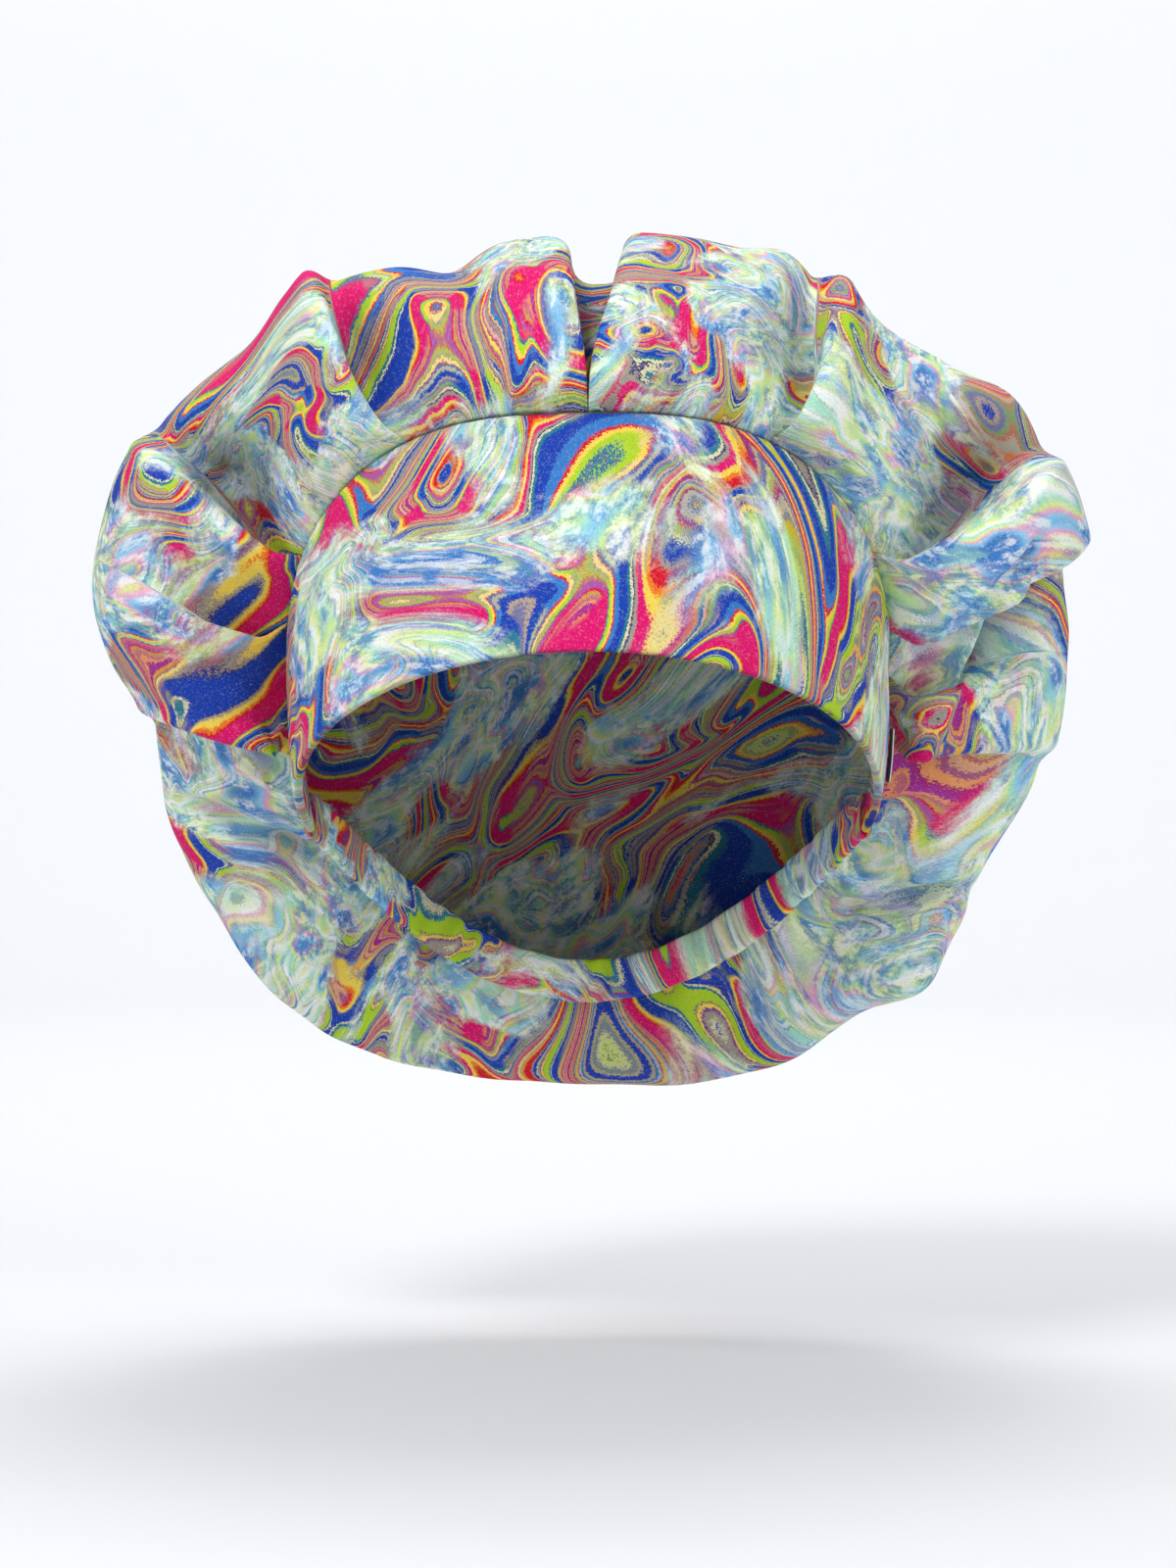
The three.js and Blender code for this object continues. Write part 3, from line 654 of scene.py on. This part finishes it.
def band_cloth():
    radius = BAND_WALL / 2
    place = np.linspace(-1, 1, BAND_COLUMNS + 1)
    share = np.sign(place) * np.interp(np.abs(place) * SEAM_LENGTH, SEAM_RUN, FINE)
    rim = rim_height(share)[:, None]
    top = seam_height(share)[:, None]
    turn = np.linspace(0, np.pi, EDGE_STEPS + 1)[1:-1][None]
    rise = np.linspace(0, 1, BAND_ROWS + 1)[None]
    fall = rise[:, ::-1]
    face = rim + radius + (top - rim - 2 * radius) * rise
    back = rim + radius + (top - rim - 2 * radius) * fall
    top_turn = top - radius + radius * np.sin(turn)
    rim_turn = rim + radius - radius * np.sin(turn)
    height = np.concatenate([face, top_turn, back, rim_turn], 1)
    ones = np.ones((len(share), 1))
    over_top = -radius + radius * np.cos(turn) * ones
    under_rim = -radius - radius * np.cos(turn) * ones
    out = np.concatenate([0 * face, over_top, 0 * back - 2 * radius, under_rim], 1)
    run = (place * SEAM_LENGTH)[:, None]
    below_seam = top - height
    near_seam = np.exp(-np.maximum(below_seam, 0) / BAND_PUCKER_FADE)
    near_seam = near_seam * smoothstep(below_seam, *BAND_PUCKER_START)
    calm = 1 - np.exp(-np.maximum(height - rim, 0) / BAND_CALM)
    angle = (TIP * share)[:, None] + 0 * height
    base = on_head(angle, height)
    dimples = BAND_PUCKER * near_seam * (0.5 + 0.5 * np.sin(stitch_phase(run)))
    dent = dimples - waves(base, BAND_WAVES) * calm * (1 - near_seam)
    out = np.where(out > -radius, out - dent, out)
    made = ring_mesh("band_cloth", base + head_normal(angle, height) * out[..., None])
    arc_run = run_along(on_head(TIP * FINE, BAND_ARC_HEIGHT + 0 * FINE))
    arc = np.sign(angle) * np.interp(np.abs(angle), TIP * FINE, arc_run)
    flat = np.stack([arc, 0 * arc, height], -1).reshape(-1, 3)
    store(made, "print_place", flat + BAND_PRINT_SHIFT, "FLOAT_VECTOR")
    store(made, "weave_place", flat[:, [0, 2, 1]], "FLOAT_VECTOR")
    seam_shade = np.exp(-((np.maximum(below_seam, 0) / BAND_SHADE) ** 2))
    rim_shade = np.exp(-((np.maximum(height - rim, 0) / BAND_SHADE) ** 2))
    store(made, "seam_shade", np.maximum(seam_shade, RIM_SHADE_SHARE * rim_shade).ravel())
    return made


def signed_power(values, power):
    return np.sign(values) * np.abs(values) ** power


def casing_cloth():
    place = np.linspace(-1, 1, CASING_COLUMNS + 1)
    past = np.maximum(2 * GAP / HEM_LENGTH, 1 - np.abs(place))
    point, normal, rise = hem_frame(past)
    for vectors in (point, normal, rise):
        vectors[:, 0] *= np.where(place > 0, -1, 1)
    turn = np.linspace(0, 2 * np.pi, CASING_ROUND, endpoint=False)[None]
    facing = np.cos(turn)
    half = CASING_THICKNESS / 2
    out = signed_power(facing, CASING_FACE) * half - half
    up = signed_power(np.sin(turn), CASING_SIDE) * CASING_HEIGHT / 2
    past = past[:, None]
    run = past * HEM_LENGTH * np.sign(place)[:, None]
    reach, pace, start = CASING_WANDER
    phase = np.pi * CASING_GATHERS * (1 - past) + reach * np.sin(pace * past + start)
    lean, length = CASING_SLANT
    phase = phase + lean * up * np.sin(run / length)
    eased = smoothstep(past, *CASING_EASE)
    uneven, length = RUFFLE_UNEVEN
    ruffle = CASING_RUFFLE * eased * np.cos(phase) * (1 - uneven + uneven * np.sin(run / length))
    out = out - CASING_RUFFLE * eased / 2 + ruffle * signed_power(facing, RUFFLE_FACE)
    wave, start = CASING_EDGE_WAVE
    up = up * (1 + wave * eased * np.sin(phase / 2 + start))
    proud = np.minimum(out, CASING_PROUD)
    points = point[:, None] + normal[:, None] * proud[..., None] + rise[:, None] * up[..., None]
    made = ring_mesh("casing_cloth", points)
    store(made, "print_place", points.reshape(-1, 3) * CASING_PRINT_SCALE, "FLOAT_VECTOR")
    flat = np.stack([run + 0 * up, up, 0 * up], -1).reshape(-1, 3)
    store(made, "weave_place", flat, "FLOAT_VECTOR")
    return made


def label_cloth():
    shares = np.linspace(0, 1, LABEL_SAMPLES + 1)
    middle = LABEL_FOOT + LABEL_HEIGHT / 2
    share = np.interp(-middle, -seam_height(shares), shares)
    edge = TIP * share - LABEL_SET_BACK / HEAD_FRONT
    u = np.linspace(0, 1, LABEL_COLUMNS + 1)[:, None]
    v = np.linspace(0, 1, LABEL_ROWS + 1)[None]
    angle = edge - LABEL_LENGTH / HEAD_FRONT * (1 - u) + 0 * v
    height = LABEL_FOOT + LABEL_HEIGHT * v + 0 * u
    base = on_head(angle, height)
    normal = head_normal(angle, height)
    thin = np.clip(1 - np.abs(2 * u - 1) ** LABEL_EDGE_POWER, LABEL_EDGE_LEAST, 1) + 0 * v
    wave, pace = LABEL_CURL_WAVE
    curl = LABEL_CURL * (1 - u) ** 2 * (1 + wave * np.sin(pace * v))
    middle_out = GAP + LABEL_THICKNESS / 2 + curl
    half = LABEL_THICKNESS / 2 * LABEL_CORE * thin
    upper = base + normal * (middle_out + half)[..., None]
    lower = base + normal * (middle_out - half)[..., None]
    columns, rows = angle.shape
    count = columns * rows
    faces = []
    for i in range(columns - 1):
        for j in range(rows - 1):
            a = i * rows + j
            b = (i + 1) * rows + j
            faces.append((a, b, b + 1, a + 1))
            faces.append((count + a, count + a + 1, count + b + 1, count + b))
    loop = [i * rows for i in range(columns)]
    loop += [(columns - 1) * rows + j for j in range(1, rows)]
    loop += [i * rows + rows - 1 for i in range(columns - 2, -1, -1)]
    loop += list(range(rows - 2, 0, -1))
    for a, b in zip(loop, loop[1:] + loop[:1]):
        faces.append((a, a + count, b + count, b))
    vertices = np.concatenate([upper.reshape(-1, 3), lower.reshape(-1, 3)])
    made = mesh_object("label_cloth", vertices, faces)
    pale = np.exp(-((u * LABEL_LENGTH / LABEL_PALE) ** 2)) + 0 * v
    store(made, "pale_edge", np.concatenate([pale.ravel(), 0 * pale.ravel()]))
    flat = np.stack([u * LABEL_LENGTH + 0 * v, height, 0 * height], -1).reshape(-1, 3)
    store(made, "weave_place", np.concatenate([flat, flat]), "FLOAT_VECTOR")
    return made


class Tree:
    """Short names for the nodes of one material."""

    def __init__(self, name):
        self.material = bpy.data.materials.new(name)
        self.material.use_nodes = True
        self.nodes = self.material.node_tree.nodes
        self.links = self.material.node_tree.links
        self.shader = self.nodes["Principled BSDF"]

    def put(self, socket, value):
        if isinstance(value, bpy.types.NodeSocket):
            self.links.new(value, socket)
        elif value is not None:
            socket.default_value = value

    def math(self, operation, a, b=None):
        node = self.nodes.new("ShaderNodeMath")
        node.operation = operation
        for socket, value in zip(node.inputs, (a, b)):
            self.put(socket, value)
        return node.outputs[0]

    def vector(self, operation, a, b=None, scale=None):
        node = self.nodes.new("ShaderNodeVectorMath")
        node.operation = operation
        self.put(node.inputs[0], a)
        self.put(node.inputs[1], b)
        if scale is not None:
            self.put(node.inputs["Scale"], scale)
        return node.outputs[0]

    def mapping(self, place, location, rotation, scale):
        node = self.nodes.new("ShaderNodeMapping")
        self.put(node.inputs["Vector"], place)
        self.put(node.inputs["Location"], location)
        self.put(node.inputs["Rotation"], rotation)
        self.put(node.inputs["Scale"], scale)
        return node.outputs[0]

    def noise(self, place, scale, detail, roughness, shift):
        node = self.nodes.new("ShaderNodeTexNoise")
        self.put(node.inputs["Vector"], self.vector("ADD", place, shift))
        self.put(node.inputs["Scale"], scale)
        self.put(node.inputs["Detail"], detail)
        self.put(node.inputs["Roughness"], roughness)
        return node.outputs["Fac"]

    def attribute(self, name, output="Fac"):
        """What is stored at each vertex, 0 on a piece that doesn't store it."""
        node = self.nodes.new("ShaderNodeAttribute")
        node.attribute_name = name
        return node.outputs[output]

    def step(self, value, low, high):
        node = self.nodes.new("ShaderNodeMapRange")
        node.interpolation_type = "SMOOTHSTEP"
        self.put(node.inputs["Value"], value)
        self.put(node.inputs["From Min"], low)
        self.put(node.inputs["From Max"], high)
        return node.outputs["Result"]

    def ramp(self, value, stops, kind="LINEAR"):
        node = self.nodes.new("ShaderNodeValToRGB")
        node.color_ramp.interpolation = kind
        elements = node.color_ramp.elements
        while len(elements) < len(stops):
            elements.new(0.5)
        for element, (place, color) in zip(elements, stops):
            element.position = place
            element.color = (*color, 1)
        self.put(node.inputs[0], value)
        return node.outputs["Color"]

    def stripes(self, value, repeats, colors):
        """Neighbouring bands of colour, from rows of width and colour, again and again."""
        total = sum(width for width, _ in colors)
        starts = np.cumsum([0] + [width for width, _ in colors[:-1]]) / total
        stops = [(float(start), color) for start, (_, color) in zip(starts, colors)]
        return self.ramp(
            self.math("FRACT", self.math("MULTIPLY", value, repeats)), stops, "CONSTANT"
        )

    def mix(self, share, a, b, blend="MIX"):
        node = self.nodes.new("ShaderNodeMix")
        node.data_type = "RGBA"
        node.blend_type = blend
        self.put(node.inputs[0], share)
        self.put(node.inputs[6], a if isinstance(a, bpy.types.NodeSocket) else (*a, 1))
        self.put(node.inputs[7], b if isinstance(b, bpy.types.NodeSocket) else (*b, 1))
        return node.outputs[2]

    def split(self, vector):
        node = self.nodes.new("ShaderNodeSeparateXYZ")
        self.put(node.inputs[0], vector)
        return node.outputs

    def threads(self, value, spacing):
        return self.math("SINE", self.math("MULTIPLY", value, 2 * math.pi / spacing))

    def bump(self, relief, strength, distance):
        node = self.nodes.new("ShaderNodeBump")
        self.put(node.inputs["Strength"], strength)
        self.put(node.inputs["Distance"], distance)
        self.put(node.inputs["Height"], relief)
        self.put(self.shader.inputs["Normal"], node.outputs[0])


def srgb(red, green, blue):
    """A colour given as 0 to 255 in sRGB, as the linear values that a shader takes."""
    return tuple(
        v / 12.92 if v <= 0.04045 else ((v + 0.055) / 1.055) ** 2.4
        for v in (red / 255, green / 255, blue / 255)
    )


MAGENTA = srgb(226, 0, 112)
PINK = srgb(234, 92, 160)
RED = srgb(216, 6, 42)
ORANGE = srgb(242, 124, 30)
YELLOW = srgb(246, 214, 84)
CREAM = srgb(232, 226, 176)
LIME = srgb(176, 212, 40)
MINT = srgb(166, 230, 200)
PALE_LIME = srgb(226, 244, 138)
PALE_BLUE = srgb(140, 204, 240)
WHITE = srgb(252, 254, 252)
SKY = srgb(48, 122, 200)
BLUE = srgb(6, 62, 176)
NAVY = srgb(52, 52, 118)
PURPLE = srgb(124, 60, 150)
LAVENDER = srgb(200, 172, 222)
ROSE = srgb(240, 164, 204)
TAUPE = srgb(164, 152, 140)
DARK_TAUPE = srgb(118, 106, 106)
TEAL = srgb(30, 120, 150)
SHADOW = srgb(36, 30, 42)
FOLD_SHADE_COLOR = srgb(96, 96, 128)
DOT_BLUE = srgb(128, 152, 184)
TAPE = srgb(14, 14, 18)
TAPE_FUZZ = srgb(40, 38, 44)
TAPE_EDGE = srgb(236, 232, 236)

# The bands of the print from one contour to the next: width and colour
VIVID = [
    (7, MAGENTA), (0.6, RED), (0.7, ORANGE), (1.2, YELLOW), (0.5, TAUPE), (0.4, NAVY),
    (3.6, BLUE), (0.4, CREAM), (0.8, TEAL), (2.6, LIME), (0.4, DARK_TAUPE), (0.7, YELLOW),
    (0.4, PURPLE), (0.8, TAUPE), (0.4, CREAM), (1, BLUE), (0.4, TAUPE), (1.6, RED),
    (0.7, ORANGE), (1.2, YELLOW), (1.6, MAGENTA), (0.8, TAUPE), (0.4, NAVY), (0.7, CREAM),
    (1, TEAL), (2.6, BLUE), (1.6, SKY), (0.5, RED), (0.9, YELLOW), (1, LIME), (0.5, TEAL),
]
QUIET = [
    (2.4, MINT), (0.4, TAUPE), (1.8, WHITE), (0.3, LAVENDER), (1, PALE_LIME), (0.4, BLUE),
    (1.6, MINT), (0.6, PURPLE), (1.4, WHITE), (1, SKY), (1.2, PALE_LIME), (1, LIME),
    (0.4, TAUPE), (0.6, LAVENDER), (0.4, NAVY), (1.6, CREAM), (0.5, TEAL), (1.4, PALE_BLUE),
    (0.4, TAUPE), (0.8, YELLOW), (0.7, PINK), (1.6, WHITE), (1.2, SKY),
]
# Fine lines drawn through the wide bands
STREAKS = [
    (1.2, TAUPE), (0.7, YELLOW), (1.6, BLUE), (0.5, NAVY), (1.2, YELLOW), (1, TEAL),
    (1.2, CREAM), (0.6, PURPLE), (0.8, TAUPE), (1, ORANGE), (1.6, SKY), (0.8, RED), (1.2, LIME),
]
VIVID_REPEATS = 4.4
QUIET_REPEATS = 6.3
STREAK_REPEATS = 17
# Soft clouds of the pale parts: the value of the noise and its colour
WASH = [
    (0.26, SKY), (0.34, PALE_BLUE), (0.39, MINT), (0.44, PALE_LIME), (0.48, WHITE),
    (0.52, MINT), (0.56, PALE_LIME), (0.6, ROSE), (0.63, PALE_BLUE), (0.68, SKY),
]

# How the paint was drawn about: pace, reach, turn and start of each stroke, in swirls
SWIRL = 21  # millimetres
STROKES = [
    (0.75, 1.5, (1.2, 0.7, 2.1), (0, 2, 4)),
    (1.35, 0.8, (2.2, 1.4, 0.6), (1, 3, 5)),
    (2.3, 0.42, (0.6, 2.5, 1.3), (2, 0, 1)),
    (3.9, 0.18, (1.9, 0.3, 2.8), (5, 1, 3)),
    (7, 0.04, (0.4, 1.1, 0.9), (3, 2, 0)),
]
# And how it was combed in the end
COMB_TURN = (0.5, 0.8, 0.3)
COMB_SCALE = (0.5, 1.15, 1)

# The noises of the print: scale, detail, roughness, shift
NOISES = {
    "grain": (1.5, 2, 0.8, (0, 0, 0)),
    "height": (0.3, 0, 0.5, (11, 2, 5)),
    "busy": (0.8, 1, 0.5, (7, 7, 1)),
    "cloud": (3.4, 5, 0.74, (2, 4, 8)),
    "tint": (0.9, 1, 0.5, (21, 3, 6)),
    "fade": (1.2, 2, 0.6, (9, 1, 17)),
    "deep": (1.3, 1, 0.5, (3, 8, 6)),
    "region": (0.42, 1, 0.5, (31, 12, 2)),
    "dots": (1.7, 3, 0.85, (4, 4, 4)),
    "worn": (0.05, 3, 0.6, (0, 0, 0)),
    "fluff": (0.32, 3, 0.6, (0, 0, 0)),
    "fuzz": (3, 2, 0.6, (0, 0, 0)),
}

# The values of a noise at which a part of the print starts and is in full
STREAKS_STEP = (0.49, 0.55)
WHITE_STEP = (0.49, 0.62)
BLUE_STEP = (0.56, 0.4)
DEEP_STEP = (0.41, 0.54)
FADE_STEP = (0.42, 0.58)
LIGHT_DOTS_STEP = (0.52, 0.66)
DARK_DOTS_STEP = (0.49, 0.34)
PALE_STEP = (-0.01, 0.065)  # from pale_from
TAPE_EDGE_STEP = (0.6, 0.8)

# How much of each part shows
GRAIN_ON_BANDS = 0.013
GRAIN_ON_REGION = 0.06
CLOUD_ON_REGION = 0.16
STREAKS_SHARE = 0.5
QUIET_SHARE = 0.5
WHITE_SHARE = 0.7
BLUE_SHARE = 0.8
DOTS_SHARE = 0.2
DOTS_SHARE_PALE = 0.22  # and this much more on the pale parts
SEAM_SHADE_SHARE = 0.8
FOLD_SHADE_SHARE = 0.62

# The cloth: its roughness and weave, the bump's distances in metres
ROUGHNESS = 0.76
ROUGHNESS_RANGE = 0.16
SPECULAR = 0.08
THREAD = 0.62
FLUFF = 2.4
WEAVE_STRENGTH = 0.35
WEAVE_DISTANCE = 0.00022
TAPE_ROUGHNESS = 0.7
TAPE_SHEEN = 0.2
TAPE_THREAD = 0.4
TAPE_STRENGTH = 0.4
TAPE_DISTANCE = 0.0001


def printed_cotton(name, shift, pale_from=0.48):
    """Marbled cotton. shift is in swirls, and a lower pale_from gives more pale parts."""
    t = Tree(name)
    raw = t.attribute("print_place", "Vector")
    drawn = [t.vector("ADD", t.vector("SCALE", raw, scale=1 / SWIRL), shift)]
    for pace, reach, turn, start in STROKES:
        turned = t.mapping(drawn[-1], start, turn, (pace, pace, pace))
        wave = t.vector("SINE", turned)
        drawn.append(t.vector("ADD", drawn[-1], t.vector("SCALE", wave, scale=reach)))
    grain = t.math("SUBTRACT", t.noise(raw, *NOISES["grain"]), 0.5)
    combed = t.mapping(drawn[-1], (0, 0, 0), COMB_TURN, COMB_SCALE)
    height = t.noise(combed, *NOISES["height"])
    height = t.math("ADD", height, t.math("MULTIPLY", grain, GRAIN_ON_BANDS))
    vivid = t.stripes(height, VIVID_REPEATS, VIVID)
    # Fine lines, everywhere but in the largest drops
    thin = t.stripes(height, STREAK_REPEATS, STREAKS)
    busy = t.step(t.noise(drawn[3], *NOISES["busy"]), *STREAKS_STEP)
    vivid = t.mix(t.math("MULTIPLY", busy, STREAKS_SHARE), vivid, thin)
    # Pale watery parts, where the bands fade into soft clouds
    cloud = t.noise(drawn[2], *NOISES["cloud"])
    quiet = t.stripes(height, QUIET_REPEATS, QUIET)
    wash = t.ramp(t.noise(drawn[2], *NOISES["tint"]), WASH)
    wash = t.mix(t.math("MULTIPLY", t.step(cloud, *WHITE_STEP), WHITE_SHARE), wash, WHITE)
    deep = t.step(t.noise(drawn[2], *NOISES["deep"]), *DEEP_STEP)
    blue = t.math("MULTIPLY", t.step(cloud, *BLUE_STEP), deep)
    wash = t.mix(t.math("MULTIPLY", blue, BLUE_SHARE), wash, SKY)
    fade = t.step(t.noise(drawn[1], *NOISES["fade"]), *FADE_STEP)
    pale = t.mix(fade, t.mix(QUIET_SHARE, quiet, wash), wash)
    region = t.noise(drawn[2], *NOISES["region"])
    clouded = t.math("MULTIPLY", t.math("SUBTRACT", cloud, 0.5), CLOUD_ON_REGION)
    region = t.math("ADD", region, clouded)
    region = t.math("ADD", region, t.math("MULTIPLY", grain, GRAIN_ON_REGION))
    paleness = t.step(region, pale_from + PALE_STEP[0], pale_from + PALE_STEP[1])
    color = t.mix(paleness, vivid, pale)
    # Grain of the ink on the threads
    dots = t.noise(raw, *NOISES["dots"])
    amount = t.math("ADD", t.math("MULTIPLY", paleness, DOTS_SHARE_PALE), DOTS_SHARE)
    light_dots = t.math("MULTIPLY", t.step(dots, *LIGHT_DOTS_STEP), amount)
    color = t.mix(light_dots, color, CREAM)
    dark_dots = t.math("MULTIPLY", t.step(dots, *DARK_DOTS_STEP), amount)
    color = t.mix(dark_dots, color, t.mix(paleness, DARK_TAUPE, DOT_BLUE))
    seam = t.math("MULTIPLY", t.attribute("seam_shade"), SEAM_SHADE_SHARE)
    color = t.mix(seam, color, SHADOW)
    # Painted shade in the hollows of the folds, darker where the cloth goes further in
    valley = t.math("MULTIPLY", t.attribute("fold_shade"), FOLD_SHADE_SHARE)
    color = t.mix(valley, color, t.mix(1, color, FOLD_SHADE_COLOR, "MULTIPLY"))
    t.put(t.shader.inputs["Base Color"], color)
    worn = t.math("MULTIPLY", t.noise(raw, *NOISES["worn"]), ROUGHNESS_RANGE)
    t.put(t.shader.inputs["Roughness"], t.math("ADD", worn, ROUGHNESS))
    t.put(t.shader.inputs["Specular IOR Level"], SPECULAR)
    # Plain weave, threads over and under
    weave = t.split(t.attribute("weave_place", "Vector"))
    relief = t.math("MULTIPLY", t.threads(weave[0], THREAD), t.threads(weave[1], THREAD))
    fluff = t.math("MULTIPLY", t.noise(raw, *NOISES["fluff"]), FLUFF)
    t.bump(t.math("ADD", relief, fluff), WEAVE_STRENGTH, WEAVE_DISTANCE)
    return t.material


def black_tape():
    t = Tree("black_tape")
    weave = t.attribute("weave_place", "Vector")
    dark = t.mix(t.noise(weave, *NOISES["fuzz"]), TAPE, TAPE_FUZZ)
    pale = t.step(t.attribute("pale_edge"), *TAPE_EDGE_STEP)
    t.put(t.shader.inputs["Base Color"], t.mix(pale, dark, TAPE_EDGE))
    t.put(t.shader.inputs["Roughness"], TAPE_ROUGHNESS)
    t.put(t.shader.inputs["Sheen Weight"], TAPE_SHEEN)
    t.bump(t.threads(t.split(weave)[1], TAPE_THREAD), TAPE_STRENGTH, TAPE_DISTANCE)
    return t.material


def dress(made, material, node):
    made.data.materials.append(material)
    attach(made, "root")
    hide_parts(node)


crown = crown_cloth()
band = band_cloth()
casing = casing_cloth()
label = label_cloth()
crown_cotton = printed_cotton("crown_cotton", (17.3, 11, 6), pale_from=0.47)
dress(crown, crown_cotton, "crown")
dress(band, printed_cotton("band_cotton", (18.4, 16, 15.3)), "front_band")
dress(casing, printed_cotton("casing_cotton", (9, 3, 2)), "nape_casing")
dress(label, black_tape(), "label_tab")

# A plain pale floor, round, that rises into a low wall well away from the cap
FLOOR = -150
FLOOR_RADIUS = 1900
WALL_BEND = 800
WALL_BEND_STEPS = 16
WALL_TOP = 1500
FLOOR_PARTS = 72
FLOOR_COLOR = (0.8, 0.81, 0.83, 1)
FLOOR_ROUGHNESS = 0.95

# The lights, in metres and watts: name, place, what it points at, size, power
LIGHTS = [
    ("key", (-0.6, -1.15, 1.15), (0, 0, 0.03), 0.5, 15.5),
    ("fill", (1.1, -1.1, 0.5), (0, 0, 0.03), 0.7, 4.6),
    ("back", (0, 1.1, 1.9), (0, 2.7, 0.2), 1.2, 26),
    ("top", (0.1, 0.35, 1.3), (0, 0.05, 0.05), 0.7, 4.2),
]
WORLD_COLOR = (0.97, 0.98, 1, 1)
WORLD_STRENGTH = 0.46

# The camera, at the photograph's angle: place in metres, level, looking along +Y
CAMERA_PLACE = (0, -1.095, 0.0083)
CAMERA_LENS = 94.5
CAMERA_NEAREST = 0.05


def backdrop():
    turn = np.linspace(0, np.pi / 2, WALL_BEND_STEPS + 1)
    radius = np.concatenate([FLOOR_RADIUS + WALL_BEND * np.sin(turn), [FLOOR_RADIUS + WALL_BEND]])
    z = np.concatenate([FLOOR + WALL_BEND * (1 - np.cos(turn)), [WALL_TOP]])
    angle = np.linspace(0, 2 * np.pi, FLOOR_PARTS, endpoint=False)[:, None]
    ring = np.stack([radius * np.cos(angle), radius * np.sin(angle), z + 0 * angle], -1)
    rows = len(z)
    points = np.vstack([ring.reshape(-1, 3), [0, 0, FLOOR]])
    faces = []
    for i in range(FLOOR_PARTS):
        a = i * rows
        b = (i + 1) % FLOOR_PARTS * rows
        faces.append((len(points) - 1, a, b))
        faces += [(a + j, a + j + 1, b + j + 1, b + j) for j in range(rows - 1)]
    made = mesh_object("backdrop", points, faces)
    t = Tree("pale_backdrop")
    t.put(t.shader.inputs["Base Color"], FLOOR_COLOR)
    t.put(t.shader.inputs["Roughness"], FLOOR_ROUGHNESS)
    made.data.materials.append(t.material)


def area_light(name, place, target, size, power):
    data = bpy.data.lights.new(name, "AREA")
    data.shape = "DISK"
    data.size = size
    data.energy = power
    made = bpy.data.objects.new(name, data)
    bpy.context.scene.collection.objects.link(made)
    made.location = place
    direction = Vector(target) - Vector(place)
    made.rotation_euler = direction.to_track_quat("-Z", "Y").to_euler()


backdrop()
for row in LIGHTS:
    area_light(*row)
world = bpy.data.worlds.new("studio")
world.use_nodes = True
world.node_tree.nodes["Background"].inputs["Color"].default_value = WORLD_COLOR
world.node_tree.nodes["Background"].inputs["Strength"].default_value = WORLD_STRENGTH
bpy.context.scene.world = world
bpy.context.scene.view_settings.view_transform = "Standard"

camera_data = bpy.data.cameras.new("camera")
camera_data.lens = CAMERA_LENS
camera_data.clip_start = CAMERA_NEAREST
camera = bpy.data.objects.new("camera", camera_data)
camera.location = CAMERA_PLACE
camera.rotation_euler = (math.pi / 2, 0, 0)
bpy.context.scene.collection.objects.link(camera)
bpy.context.scene.camera = camera

bpy.context.view_layer.update()
